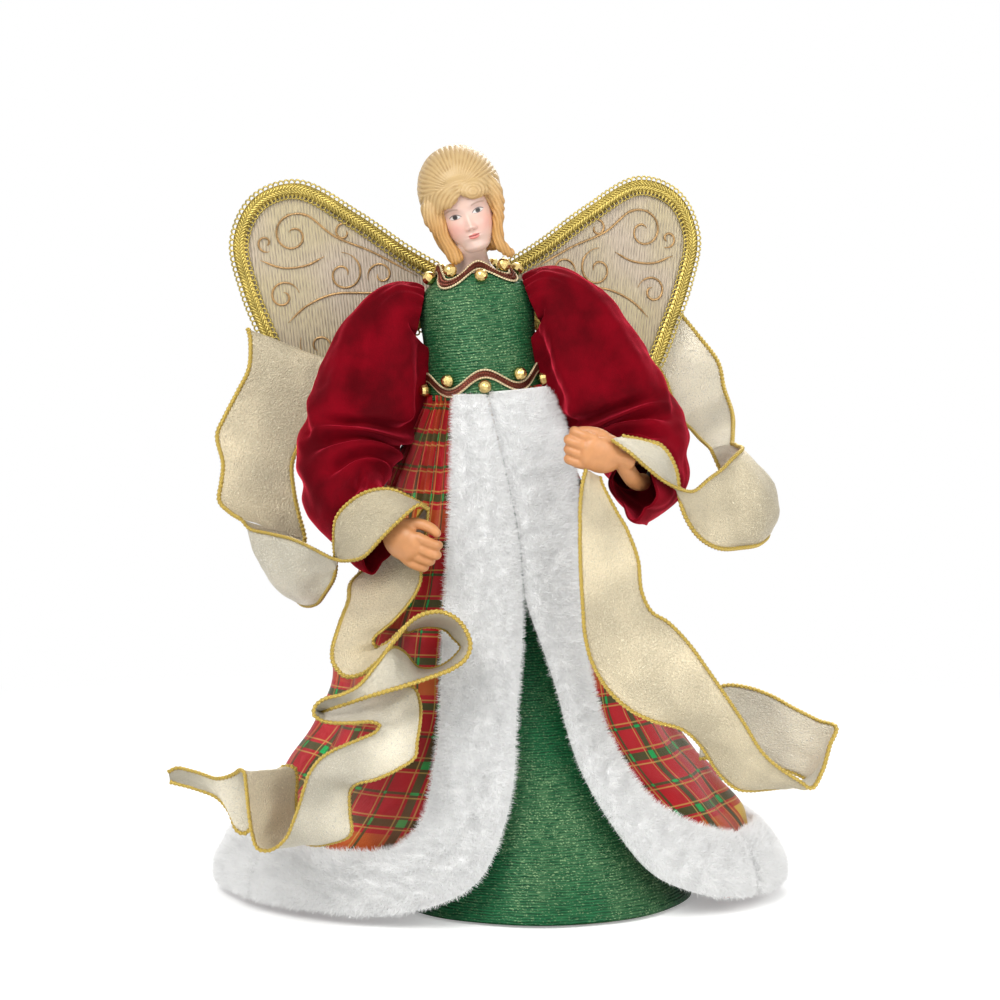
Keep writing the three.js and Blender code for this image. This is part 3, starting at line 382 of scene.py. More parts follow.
def rims(normal, side, sides):
    """A ring about each pair of directions."""
    w = (np.arange(sides) * math.tau / sides)[:, None]
    return normal[:, None] * np.cos(w) + side[:, None] * np.sin(w)


def loft(rings, arc=None, closed=False, girth=1.0):
    """Points, faces and corner map through rings of points, with flat ends or, closed, back to the first ring.

    arc is the length at each ring, and girth the map's step round a ring.
    """
    rings = np.asarray(rings, float)
    rows, sides = rings.shape[:2]
    if arc is None:
        arc = np.arange(rows + 1)
    points = rings.reshape(-1, 3)
    faces, uv = [], []
    for r in range(rows if closed else rows - 1):
        q = (r + 1) % rows
        for c in range(sides):
            d = (c + 1) % sides
            faces.append([r * sides + c, r * sides + d, q * sides + d, q * sides + c])
            low, high = c * girth, (c + 1) * girth
            uv.append([(arc[r], low), (arc[r], high), (arc[r + 1], high), (arc[r + 1], low)])
    if closed:
        return points, faces, uv
    for c in range(sides):
        d = (c + 1) % sides
        faces += [[rows * sides, d, c], [rows * sides + 1, (rows - 1) * sides + c, (rows - 1) * sides + d]]
        uv += [[(arc[0], 0)] * 3, [(arc[rows - 1], 0)] * 3]
    return np.vstack([points, rings[0].mean(0), rings[-1].mean(0)]), faces, uv


def ball(centre, rx, ry, rz, around=24, up=14):
    """An egg with its poles along Z."""
    a = circle(around)
    b = np.linspace(0.02, math.pi - 0.02, up)
    ring = np.stack([np.cos(a), np.sin(a), 0 * a], -1)
    rings = [ring * math.sin(t) + (0, 0, math.cos(t)) for t in b]
    return loft(np.array(rings) * (rx, ry, rz) + centre)


def inside_out(points, quads):
    """Whether a closed shape's faces look inwards."""
    a, b, c, d = np.moveaxis(points[quads], 1, 0)
    return np.sum(a * np.cross(b, c)) + np.sum(a * np.cross(c, d)) < 0


def merge(parts):
    """Several closed shapes as one, each with its faces turned outwards."""
    points, faces, uv, count = [], [], [], 0
    for p, f, m in parts:
        step = -1 if inside_out(p, np.array([(*face, face[-1])[:4] for face in f])) else 1
        points.append(p)
        faces += [[i + count for i in face[::step]] for face in f]
        uv += [pair for face in m for pair in face[::step]]
        count += len(p)
    return np.vstack(points), faces, np.array(uv) / 1000


def show(name, data):
    """A new object of this data, in the scene."""
    obj = bpy.data.objects.new(name, data)
    bpy.context.scene.collection.objects.link(obj)
    return obj


def settle(name, source, flat=False):
    """What an object's modifiers make of it, as a plain mesh; the object itself goes."""
    depsgraph = bpy.context.evaluated_depsgraph_get()
    mesh = bpy.data.meshes.new_from_object(source.evaluated_get(depsgraph), depsgraph=depsgraph)
    mesh.name = name
    mesh.polygons.foreach_set("use_smooth", np.full(len(mesh.polygons), not flat))
    bpy.data.objects.remove(source)
    return show(name, mesh)


def build(name, points, faces, finishes, uv=None, which=None):
    """An object at the origin with its place in its mesh; uv holds a pair for each corner."""
    mesh = bpy.data.meshes.new(name)
    mesh.from_pydata(place(points), [], faces)
    if uv is not None:
        layer = mesh.uv_layers.new(name="cut")
        layer.data.foreach_set("uv", np.asarray(uv, np.float32).ravel())
    for finish in finishes:
        mesh.materials.append(finish)
    if which is not None:
        mesh.polygons.foreach_set("material_index", np.asarray(which, np.int32))
    mesh.polygons.foreach_set("use_smooth", np.full(len(mesh.polygons), True))
    mesh.update()
    return show(name, mesh)


def solid(name, parts, finish):
    """One object of several closed shapes."""
    points, faces, uv = merge(parts)
    return build(name, points, faces, [finish], uv)


def slab(name, front, back, finishes, uv=None, closed=False):
    """Closed sheet between two grids of points; a second finish goes on the back."""
    rows, cols = front.shape[:2]
    spans = cols if closed else cols - 1
    r, c = (a.ravel() for a in np.meshgrid(np.arange(rows - 1), np.arange(spans), indexing="ij"))
    e = np.arange(spans)
    z, end = 0 * e, 0 * e + rows - 1
    sides = [
        [(0, r, c), (0, r, c + 1), (0, r + 1, c + 1), (0, r + 1, c)],
        [(1, r, c), (1, r + 1, c), (1, r + 1, c + 1), (1, r, c + 1)],
        [(0, z, e), (1, z, e), (1, z, e + 1), (0, z, e + 1)],
        [(0, end, e), (0, end, e + 1), (1, end, e + 1), (1, end, e)],
    ]
    if not closed:
        q = np.arange(rows - 1)
        z, end = 0 * q, 0 * q + cols - 1
        sides.append([(0, q, z), (0, q + 1, z), (1, q + 1, z), (1, q, z)])
        sides.append([(0, q, end), (1, q, end), (1, q + 1, end), (0, q + 1, end)])
    points = np.concatenate([front.reshape(-1, 3), back.reshape(-1, 3)])
    faces = np.concatenate(
        [np.stack([s * rows * cols + i * cols + j % cols for s, i, j in side], 1) for side in sides]
    )
    if uv is None:
        uv = np.stack(np.meshgrid(np.arange(rows), np.arange(cols + 1), indexing="ij"), -1) * 0.001
    pairs = np.concatenate([np.stack([uv[i, j] for _, i, j in side], 1) for side in sides])
    if inside_out(points, faces):
        faces, pairs = faces[:, ::-1], pairs[:, ::-1]
    behind = int(len(finishes) > 1)
    which = np.concatenate([np.full(len(side[0][1]), behind * (k == 1)) for k, side in enumerate(sides)])
    return build(name, points, faces.tolist(), finishes, pairs, which)


def grid_area(grid, closed=False):
    """Area of a grid of points in square metres."""
    if closed:
        grid = np.concatenate([grid, grid[:, :1]], 1)
    a, b, c, d = grid[:-1, :-1], grid[:-1, 1:], grid[1:, 1:], grid[1:, :-1]
    cross = np.cross(c - a, d - b)
    return float(np.linalg.norm(cross, axis=-1).sum() / 2e6)


def cut_length(grid, width, closed=False):
    """Length in metres of cloth of this width that the grid's area needs."""
    return round(grid_area(grid, closed) / width, 3)


def dress(obj, body, slot, *nodes):
    """The piece rides on a body and stands for the packed solids, which are hidden; its slot is not used."""
    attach(obj, body)
    if nodes:
        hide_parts(*nodes)


def maths(operation):
    """A method that adds a Math node."""
    return lambda self, *others: self.math(operation, *others)


class Val:
    """A socket's value, with arithmetic that adds Math nodes."""

    def __init__(self, graph, socket):
        self.graph, self.socket = graph, socket

    def math(self, operation, *others):
        return self.graph.add("ShaderNodeMath", {"operation": operation}, dict(enumerate((self, *others))))

    __add__, __sub__, __mul__, __truediv__ = map(maths, ("ADD", "SUBTRACT", "MULTIPLY", "DIVIDE"))
    __radd__, __rmul__ = __add__, __mul__
    sin, abs, root, most = map(maths, ("SINE", "ABSOLUTE", "SQRT", "MAXIMUM"))

    def __rsub__(self, other):
        return self.graph.add("ShaderNodeMath", {"operation": "SUBTRACT"}, {0: other, 1: self})

    def wrap(self, low, high):
        return self.math("WRAP", high, low)

    def near(self, inner, outer):
        """1 about zero, fading out between two distances from it."""
        return 1.0 - self.abs().step(inner, outer)

    def step(self, low, high):
        """0 below low, 1 above high, smooth between."""
        settings = {"interpolation_type": "SMOOTHSTEP"}
        return self.graph.add("ShaderNodeMapRange", settings, {0: self, 1: low, 2: high, 3: 0.0, 4: 1.0})


class Graph:
    """Adds nodes to one tree."""

    def __init__(self, tree):
        self.tree = tree

    def add(self, kind, settings=(), inputs=(), output=0):
        """A node of this type: its settings first, then its sockets' values or links. Gives one of its outputs."""
        node = self.tree.nodes.new(kind)
        for key, value in dict(settings).items():
            setattr(node, key, value)
        for key, value in dict(inputs).items():
            if isinstance(value, Val):
                self.tree.links.new(value.socket, node.inputs[key])
            else:
                node.inputs[key].default_value = value
        return Val(self, node.outputs[output]) if len(node.outputs) else None

    def parts(self, vector):
        """The three parts of a vector."""
        node = self.add("ShaderNodeSeparateXYZ", {}, {0: vector}).socket.node
        return [Val(self, o) for o in node.outputs]


class Finish(Graph):
    """A material round one Principled shader, whose fixed values are set on its own sockets."""

    def __init__(self, name, fixed):
        self.material = bpy.data.materials.new(name)
        self.material.use_nodes = True
        super().__init__(self.material.node_tree)
        self.tree.nodes.clear()
        self.shader = self.tree.nodes.new("ShaderNodeBsdfPrincipled")
        for key, value in fixed.items():
            self.shader.inputs[key].default_value = value
        surface = Val(self, self.shader.outputs[0])
        self.add("ShaderNodeOutputMaterial", {}, {"Surface": surface})

    def put(self, name, value):
        self.tree.links.new(value.socket, self.shader.inputs[name])

    def cut(self):
        """The two coordinates of the piece's own map, in millimetres."""
        u, v, _ = self.parts(self.add("ShaderNodeTexCoord", output="UV"))
        return u * 1000.0, v * 1000.0

    def pair(self, u, v):
        return self.add("ShaderNodeCombineXYZ", {}, {0: u, 1: v})

    def noise(self, vector, scale, detail=2.0):
        return self.add("ShaderNodeTexNoise", {}, {"Vector": vector, "Scale": scale, "Detail": detail})

    def grain(self, scale, detail=2.0):
        """Noise through the stuff itself."""
        return self.noise(self.add("ShaderNodeTexCoord", output="Object"), scale, detail)

    def flecks(self, u, v):
        """A random value for each cell of a mosaic over two coordinates."""
        mosaic = {"Vector": self.pair(u, v), "Scale": 1.0}
        return self.parts(self.add("ShaderNodeTexVoronoi", {}, mosaic, "Color"))[0]

    def waves(self, x, pitch):
        """Waves of this pitch, from 0 to 1."""
        return (x * (math.tau / pitch)).sin() * 0.5 + 0.5

    def mix(self, factor, a, b):
        paints = [c if isinstance(c, Val) else (*c, 1.0) for c in (a, b)]
        return self.add("ShaderNodeMix", {"data_type": "RGBA"}, {0: factor, 6: paints[0], 7: paints[1]}, 2)

    def relief(self, height, distance, strength=1.0):
        bump = {"Strength": strength, "Distance": distance, "Height": height}
        self.put("Normal", self.add("ShaderNodeBump", {}, bump))


def scaled(colour, factor):
    return tuple(c * factor for c in colour)


def lurex(name, colour, glint):
    """Knitted metallic cloth: fine ribs across, painted darker in their valleys as shade, with painted glints and
    patches of painted sheen.
    """
    f = Finish(name, {"Metallic": 0.25, "Specular IOR Level": 0.2})
    u, v = f.cut()
    wobble = f.grain(160.0, 2.0)
    rib = f.waves(v + wobble * 1.3, 1.15)
    spark = f.flecks(u * 2.1, v * 2.7).step(0.78, 0.98) * (0.3 + rib * 0.7)
    broad = f.grain(24.0).step(0.4, 0.68)
    shade = f.noise(f.pair(u * 0.22, v * 1.2), 1.0, 3.0).step(0.32, 0.68)
    # Painted shade: the colour darkens in the valleys between the ribs.
    body = f.mix(rib * 0.5 + shade * 0.5, scaled(colour, 0.3), scaled(colour, 1.35))
    # Painted sheen: broad patches tinted towards the glint colour.
    body = f.mix(broad * shade * 0.4, body, scaled(glint, 0.35))
    # Painted glints: bright flecks mixed in with the glint colour, strongest in the sheen patches.
    f.put("Base Color", f.mix(spark * (0.3 + broad * 0.5), body, glint))
    f.put("Roughness", 0.46 - spark * 0.22)
    f.relief(rib * 0.9 + spark * 0.6, 0.0003, 0.7)
    return f.material


def velvet(name, colour):
    """Short pile that is dark face on and glows at its edges, its colour painted lighter and darker in patches as sheen
    and shade.
    """
    f = Finish(
        name,
        {"Roughness": 0.75, "Sheen Weight": 1.0, "Sheen Roughness": 0.36, "Sheen Tint": (1.0, 0.05, 0.1, 1),
         "Specular IOR Level": 0.04},
    )
    nap = f.grain(55.0, 4.0)
    pile = f.grain(2600.0, 2.0)
    # Painted sheen and shade: the colour goes lighter and darker in broad patches of the nap noise.
    f.put("Base Color", f.mix(nap.step(0.3, 0.7), scaled(colour, 0.5), scaled(colour, 1.25)))
    f.put("Roughness", 0.65 + nap * 0.2)
    f.relief(pile + nap * 0.3, 0.00025, 0.5)
    return f.material


def tartan(name, red, green, gold):
    """Checked satin: stripes of warp and weft, darkest where one crosses the red, brightest where like cross like."""
    f = Finish(name, {"Metallic": 0.2, "Specular IOR Level": 0.3})
    u, v = f.cut()

    def threads(x):
        """Broad, dark and fine stripes one way, over a repeat that is mirrored about its middle."""
        away = x.wrap(-37.0, 37.0).abs()

        def stripe(at, half):
            return (away - at).near(half - 0.12, half + 0.12)

        lines = stripe(7.6, 0.3).most(stripe(13.4, 0.3)).most(stripe(33.6, 0.3)).most(stripe(22.0, 0.3))
        return stripe(0.0, 5.2), stripe(10.5, 1.7).most(stripe(37.0, 1.8)).most(stripe(24.0, 0.6)), lines

    broad, dark, fine = threads(u + 14.0)
    broad_too, dark_too, fine_too = threads(v + 22.0)
    gleam = f.grain(22.0).step(0.4, 0.66)
    paint = f.mix(broad.most(broad_too) * (0.12 + gleam * 0.5), red, (0.5, 0.15, 0.012))
    paint = f.mix(broad * broad_too, paint, gold)
    paint = f.mix(dark.most(dark_too), paint, (0.06, 0.058, 0.012))
    paint = f.mix(dark * dark_too, paint, green)
    lines = fine.most(fine_too)
    paint = f.mix(lines * 0.6, paint, (0.6, 0.4, 0.09))
    twill = f.waves(u + v, 0.75)
    shade = f.grain(34.0)
    f.put("Base Color", f.mix(shade.step(0.42, 0.72) * 0.5, paint, scaled(red, 0.2)))
    f.put("Roughness", 0.27 + shade * 0.16 - lines * 0.06)
    f.relief(twill * 0.3 + f.noise(f.pair(u, v), 0.22, 3.0) * 2.0, 0.0005, 0.7)
    return f.material


def plush(name, colour):
    """Ground and strands of white fur, with a faint painted glow."""
    # Painted glow: a faint white emission that stands in for light scattered deep in the pile.
    glow = {"Emission Color": (1, 1, 1, 1), "Emission Strength": 0.05}
    f = Finish(name, {"Roughness": 0.9, "Specular IOR Level": 0.1, **glow})
    clump = f.grain(240.0, 3.0)
    f.put("Base Color", f.mix(clump.step(0.3, 0.7), scaled(colour, 0.96), colour))
    f.relief(clump, 0.0008, 0.4)
    return f.material


def lame(name, colour, glint):
    """Thin metallic ribbon cloth with a crinkled weave and painted glints."""
    f = Finish(name, {"Metallic": 0.45, "Sheen Weight": 0.15, "Sheen Tint": (1, 0.95, 0.8, 1)})
    u, v = f.cut()
    crinkle = f.noise(f.pair(u * 1.3 + v * 0.9, v * 0.7 - u * 0.5), 0.9, 4.0)
    grain = f.noise(f.pair(u * 2.2, v * 2.2), 1.0, 2.0)
    spark = f.flecks(u * 2.6, v * 2.0).step(0.66, 0.96) * crinkle.step(0.38, 0.58)
    tone = f.grain(28.0).step(0.35, 0.7) * 0.6 + grain.step(0.35, 0.65) * 0.4
    body = f.mix(tone, scaled(colour, 0.52), scaled(colour, 1.16))
    # Painted glints: flecks on the crinkles mixed in with the glint colour.
    f.put("Base Color", f.mix(spark * 0.9, body, glint))
    f.put("Roughness", 0.42 - spark * 0.2)
    f.relief(crinkle + grain * 0.5 + spark * 0.4, 0.0008, 0.9)
    f.put("Alpha", 0.98 - grain.step(0.5, 0.75) * 0.1)
    return f.material


def thread(name, colour, pitch, metal=0.55):
    """Overcast metallic thread: slanted turns along the piece's own map, each painted lighter on its crest and darker
    between turns as highlight and shade.
    """
    f = Finish(name, {"Metallic": metal})
    u, v = f.cut()
    turns = f.waves(u + v * 0.8, pitch)
    glitter = f.grain(1500.0, 2.0)
    # Painted highlight and shade: the colour is lighter along each turn and darker between turns.
    f.put("Base Color", f.mix(turns, scaled(colour, 0.5), scaled(colour, 1.15)))
    f.put("Roughness", 0.5 - glitter * 0.25)
    f.relief(turns + glitter * 0.4, 0.0003, 0.8)
    return f.material


def speckled(name, colour, dark, scale, fixed, bump=0.0002):
    """Plain stuff with a grain of two tones."""
    f = Finish(name, fixed)
    grain = f.grain(scale, 4.0)
    broad = f.grain(scale * 0.08, 2.0)
    f.put("Base Color", f.mix((grain * 0.6 + broad * 0.4).step(0.32, 0.66), dark, colour))
    f.put("Roughness", fixed.get("Roughness", 0.5) - 0.08 + grain * 0.16)
    f.relief(grain, bump, 0.5)
    return f.material


def metal(name, tone, share, scale, rough, shine, bump=0.0002):
    """Metallic stuff of one tone, with grains of a share of it."""
    return speckled(name, tone, scaled(tone, share), scale, {"Roughness": rough, "Metallic": shine}, bump)


def organza(name, colour):
    """Sheer pleated cloth with a shadow in each pleat."""
    f = Finish(name, {"Roughness": 0.5, "Sheen Weight": 0.4, "Metallic": 0.1})
    u, v = f.cut()
    pleat = f.waves(u, PLEAT)
    weave = f.noise(f.pair(u * 3.0, v * 0.25), 1.0, 3.0)
    patch = f.grain(30.0)
    tone = f.mix(patch.step(0.3, 0.7), colour, (0.56, 0.47, 0.28))
    f.put("Base Color", f.mix((1.0 - pleat) * weave.step(0.35, 0.65), tone, scaled(colour, 0.38)))
    f.put("Alpha", 0.8 + weave.step(0.4, 0.7) * 0.15)
    f.relief(pleat + weave * 0.5, 0.0003, 0.5)
    return f.material


def bisque(name, skin):
    """Painted porcelain skin: the map's two coordinates lie across and up the face, from between the eyes."""
    f = Finish(name, {"Roughness": 0.38, "Subsurface Weight": 0.12, "Subsurface Radius": (0.9, 0.35, 0.2),
                      "Subsurface Scale": 0.002, "Coat Weight": 0.12, "Coat Roughness": 0.25})
    a, b = f.cut()

    def spot_at(x, y, at, size, soft):
        """An egg of paint with a soft edge."""
        dx, dy = (x - at[0]) / size[0], (y - at[1]) / size[1]
        return 1.0 - (dx * dx + dy * dy).root().step(1 - soft, 1 + soft)

    def within(gap, soft=0.15):
        """1 on the open side of an edge."""
        return gap.step(-soft, soft)

    side = a.abs()
    x = side - EYE_OUT
    paint = f.mix(f.grain(90.0).step(0.3, 0.7), skin, scaled(skin, 0.93))
    paint = f.mix(spot_at(side, b, (6.2, -4.9), (4.2, 3.4), 0.95) * 0.5, paint, (0.74, 0.3, 0.24))
    paint = f.mix(spot_at(side, b, (4.9, 1.4), (3.4, 1.7), 0.8) * 0.3, paint, (0.5, 0.33, 0.3))
    lid = 0.98 - x * x * 0.17 + x * 0.07
    low = x * x * 0.11 - 0.8
    almond = within(lid - b, 0.12) * within(b - low, 0.12) * (2.35 - x.abs()).step(-0.1, 0.3)
    eye = f.mix(spot_at(x, b, (0.1, 0.12), (1.02, 1.0), 0.14), (0.62, 0.59, 0.57), (0.028, 0.02, 0.017))
    eye = f.mix(spot_at(x, b, (0.1, 0.12), (0.5, 0.5), 0.2), eye, (0.008, 0.006, 0.006))
    eye = f.mix(spot_at(a.wrap(-EYE_OUT, EYE_OUT), b, (0.35, 0.45), (0.2, 0.2), 0.3), eye, (0.9, 0.9, 0.9))
    paint = f.mix(almond, paint, eye)
    lash = (b - lid - 0.08).near(0.12, 0.34) * (2.75 - x.abs()).step(0.0, 0.5)
    under = (b - low + 0.05).near(0.05, 0.25) * (2.2 - x.abs()).step(0.0, 0.6) * 0.45
    paint = f.mix((lash * 0.85).most(under), paint, (0.05, 0.032, 0.028))
    arch = 3.3 - (side - 5.4) * (side - 5.4) * 0.075
    brow = (b - arch).near(0.1, 0.6) * (side - 2.4).step(0.0, 0.8) * (9.0 - side).step(0.0, 1.6)
    paint = f.mix(brow * 0.55, paint, (0.24, 0.13, 0.07))
    bow = a - 0.2
    upper = within(-8.05 - bow.abs() * 0.22 - b) * within(b + 9.15 - bow * bow * 0.03)
    lower = within(b + 10.35 - bow * bow * 0.14) * within(-8.95 + bow * bow * 0.03 - b)
    lips = upper.most(lower) * (2.5 - bow.abs()).step(0.0, 0.6)
    paint = f.mix(lips * 0.85, paint, (0.56, 0.13, 0.11))
    seam = (b + 9.05 - bow * bow * 0.035).near(0.04, 0.28) * (2.45 - bow.abs()).step(0.0, 0.5)
    paint = f.mix(seam * 0.85, paint, (0.2, 0.03, 0.03))
    paint = f.mix(spot_at(side, b, (1.0, -6.5), (0.55, 0.3), 0.4) * 0.4, paint, (0.3, 0.12, 0.1))
    f.put("Base Color", paint)
    f.relief(f.grain(900.0, 2.0), 0.00005, 0.4)
    return f.material


def painted_hair(name, colour, shade):
    """Hair paint, with painted shade in the combed grooves, and darker towards the lower locks."""
    f = Finish(name, {"Roughness": 0.45, "Coat Weight": 0.08, "Coat Roughness": 0.3})
    groove, low = f.cut()
    soft = f.grain(300.0, 3.0)
    paint = f.mix(low.step(0.0, 1000.0) * (0.6 + soft * 0.4), colour, shade)
    # Painted shade: the colour darkens in the combed grooves.
    paint = f.mix(groove.step(420.0, 980.0) * (0.35 + soft * 0.3), paint, scaled(shade, 0.55))
    f.put("Base Color", paint)
    f.relief(soft, 0.0001, 0.3)
    return f.material


def node_tree(name, **sockets):
    """A new geometry tree with inputs of these names and kinds, and the inputs' values by name."""
    tree = bpy.data.node_groups.new(name, "GeometryNodeTree")
    tree.interface.new_socket("Geometry", in_out="INPUT", socket_type="NodeSocketGeometry")
    for label, kind in sockets.items():
        tree.interface.new_socket(label, in_out="INPUT", socket_type=f"NodeSocket{kind}")
    tree.interface.new_socket("Geometry", in_out="OUTPUT", socket_type="NodeSocketGeometry")
    graph = Graph(tree)
    given = tree.nodes.new("NodeGroupInput")
    return graph, {o.name: Val(graph, o) for o in given.outputs if o.name}


def close_tree(graph, copies, finish):
    """Ends a tree: its copies made real, in one finish."""
    real = graph.add("GeometryNodeRealizeInstances", {}, {0: copies})
    done = graph.add("GeometryNodeSetMaterial", {}, {"Geometry": real, "Material": finish})
    graph.add("NodeGroupOutput", {}, {0: done})
    return graph.tree


def pile_tree():
    """Strands that stand on a surface, each leaning its own way."""
    graph, given = node_tree(
        "fur_pile", Density="Float", Length="Float", Spread="Float", Seed="Int", Strand="Object", Finish="Material"
    )

    def chance(low, high, seed):
        return graph.add("FunctionNodeRandomValue", {"data_type": "FLOAT"}, {2: low, 3: high, "Seed": seed}, 1)

    points = graph.add(
        "GeometryNodeDistributePointsOnFaces",
        {"distribute_method": "RANDOM"},
        {"Mesh": given["Geometry"], "Density": given["Density"], "Seed": given["Seed"]},
    )
    normal = Val(graph, points.socket.node.outputs["Normal"])
    cube = {0: (-1, -1, -1), 1: (1, 1, 1), "Seed": 3}
    jitter = graph.add("FunctionNodeRandomValue", {"data_type": "FLOAT_VECTOR"}, cube)
    bent = graph.add("ShaderNodeVectorMath", {"operation": "SCALE"}, {0: jitter, "Scale": given["Spread"]})
    lean = graph.add("ShaderNodeVectorMath", {"operation": "ADD"}, {0: normal, 1: bent})
    turn = graph.add("FunctionNodeAlignRotationToVector", {"axis": "Z"}, {"Vector": lean})
    euler = graph.add("ShaderNodeCombineXYZ", {}, {2: chance(0.0, math.tau, 5)})
    about = graph.add("FunctionNodeEulerToRotation", {}, {0: euler})
    turned = graph.add("FunctionNodeRotateRotation", {"rotation_space": "LOCAL"}, {0: turn, 1: about})
    size = chance(0.6, 1.1, 7)
    strand = graph.add("GeometryNodeObjectInfo", {}, {"Object": given["Strand"]}, "Geometry")
    copies = graph.add(
        "GeometryNodeInstanceOnPoints",
        {},
        {"Points": points, "Instance": strand, "Rotation": turned, "Scale": size * given["Length"]},
    )
    return close_tree(graph, copies, given["Finish"])


def row_tree():
    """Copies of a small piece at points that carry the directions along and up."""
    graph, given = node_tree("trim_row", Piece="Object", Finish="Material")
    points = graph.add("GeometryNodeMeshToPoints", {}, {"Mesh": given["Geometry"]})
    along, up = (
        graph.add("GeometryNodeInputNamedAttribute", {"data_type": "FLOAT_VECTOR"}, {"Name": name})
        for name in ("along", "up")
    )
    turn = graph.add(
        "FunctionNodeAxesToRotation",
        {"primary_axis": "Z", "secondary_axis": "X"},
        {"Primary Axis": up, "Secondary Axis": along},
    )
    piece = graph.add("GeometryNodeObjectInfo", {}, {"Object": given["Piece"]}, "Geometry")
    copies = graph.add("GeometryNodeInstanceOnPoints", {}, {"Points": points, "Instance": piece, "Rotation": turn})
    return close_tree(graph, copies, given["Finish"])


def grow(name, host, tree, values, flat=False):
    """The tree's result on a host object, as a plain mesh; the host goes."""
    modifier = host.modifiers.new("grow", "NODES")
    modifier.node_group = tree
    for item in tree.interface.items_tree:
        if item.in_out == "INPUT" and item.name in values:
            modifier[item.identifier] = values[item.name]
    host.update_tag()
    return settle(name, host, flat)


def pattern_piece(name, points, faces):
    """A small shape to be copied, in millimetres about its own origin."""
    mesh = bpy.data.meshes.new(name)
    mesh.from_pydata(np.asarray(points, float) / 1000, [], faces)
    return show(name, mesh)


def row_of(name, points, along, up, piece, finish, flat=False):
    """Copies of a piece at points in millimetres of the upright frame."""
    mesh = bpy.data.meshes.new(name + "_points")
    mesh.from_pydata(place(points), [], [])
    for label, vectors in (("along", along), ("up", up)):
        attribute = mesh.attributes.new(label, "FLOAT_VECTOR", "POINT")
        attribute.data.foreach_set("vector", np.broadcast_to(vectors, np.shape(points)).astype(np.float32).ravel())
    tree = bpy.data.node_groups.get("trim_row") or row_tree()
    obj = grow(name, show(name + "_points", mesh), tree, {"Piece": piece, "Finish": finish}, flat)
    bpy.data.objects.remove(piece)
    return obj


def size_of(label, text, default):
    return FloatProperty(name=label, description=text, default=default, min=0.0, unit="LENGTH")


def paint_of(label, text, default):
    return FloatVectorProperty(name=label, description=text, default=default, size=3, min=0.0, max=1.0, subtype="COLOR")


class TopperCloth(bpy.types.PropertyGroup):
    """Cloth of the gown."""

    tartan_red: paint_of("Tartan red", "Ground of the checked satin", (0.44, 0.005, 0.012))
    tartan_green: paint_of("Tartan green", "Green stripes of the checked satin", (0.0, 0.34, 0.07))
    tartan_gold: paint_of("Tartan gold", "Broad gold stripes of the checked satin", (0.62, 0.4, 0.05))
    velvet_red: paint_of("Velvet", "Velvet of the sleeves", (0.14, 0.0007, 0.005))
    knit_green: paint_of("Green knit", "Metallic knit of the bodice and skirt", (0.008, 0.1, 0.034))
    # The knit glint is the colour of the glints painted into the knit, not the colour of its threads.
    knit_glint: paint_of("Knit glint", "Bright threads in the knit", (0.36, 0.55, 0.27))
    crumple: size_of("Crumple", "Depth of the small creases in the overskirt", 0.0009)


class TopperTrim(bpy.types.PropertyGroup):
    """Fur, ribbon and metal thread."""

    fur_white: paint_of("Fur", "Plush of the edges and hem", (0.915, 0.915, 0.91))
    pile_length: size_of("Pile length", "Length of the fur's strands", 0.0031)
    pile_count: IntProperty(name="Pile count", description="Strands on a square centimetre", default=1150, min=1)
    ribbon_cream: paint_of("Ribbon face", "Metallic ribbon, face side", (0.82, 0.755, 0.6))
    ribbon_tan: paint_of("Ribbon back", "Metallic ribbon, back side", (0.71, 0.61, 0.42))
    ribbon_gold: paint_of("Ribbon edge", "Thread over the ribbon's edge wire", (0.62, 0.44, 0.09))
    edge_radius: size_of("Ribbon edge", "Half the width of the overcast edge", 0.0008)
    gimp_gold: paint_of("Gimp", "Metal thread round the wings", (0.52, 0.4, 0.1))
    bead_gold: paint_of("Beads", "Gilt beads", (0.85, 0.64, 0.25))
    sequin_brown: paint_of("Sequins", "Centre of the wavy braid", (0.15, 0.032, 0.015))
    cord_cream: paint_of("Braid cord", "Cords along the wavy braid", (0.8, 0.64, 0.38))


class TopperFigure(bpy.types.PropertyGroup):
    """Head, hands and wings."""

    skin: paint_of("Face", "Bisque of the face", (0.68, 0.48, 0.4))
    hair: paint_of("Hair", "Hair paint on the crown", (0.5, 0.345, 0.155))
    # Hair shade: the colour towards the lower locks and, darkened further, the painted shade in the combed grooves.
    hair_shade: paint_of("Hair shade", "Hair paint in grooves and lower locks", (0.5, 0.24, 0.055))
    hand: paint_of("Hands", "Moulded hands", (0.58, 0.26, 0.1))
    wing: paint_of("Wings", "Sheer pleated cloth", (0.58, 0.48, 0.37))
    scroll: paint_of("Scrolls", "Glitter scrolls on the wings", (0.25, 0.15, 0.06))


class TopperStage(bpy.types.PropertyGroup):
    """Floor and light."""

    floor: paint_of("Floor", "Colour of the floor", (0.9, 0.9, 0.89))
    key: FloatProperty(name="Key light", description="Power of the main lamp", default=20.0, min=0.0, unit="POWER")
    sky: FloatProperty(name="Sky light", description="Strength of the even light all round", default=0.38, min=0.0)


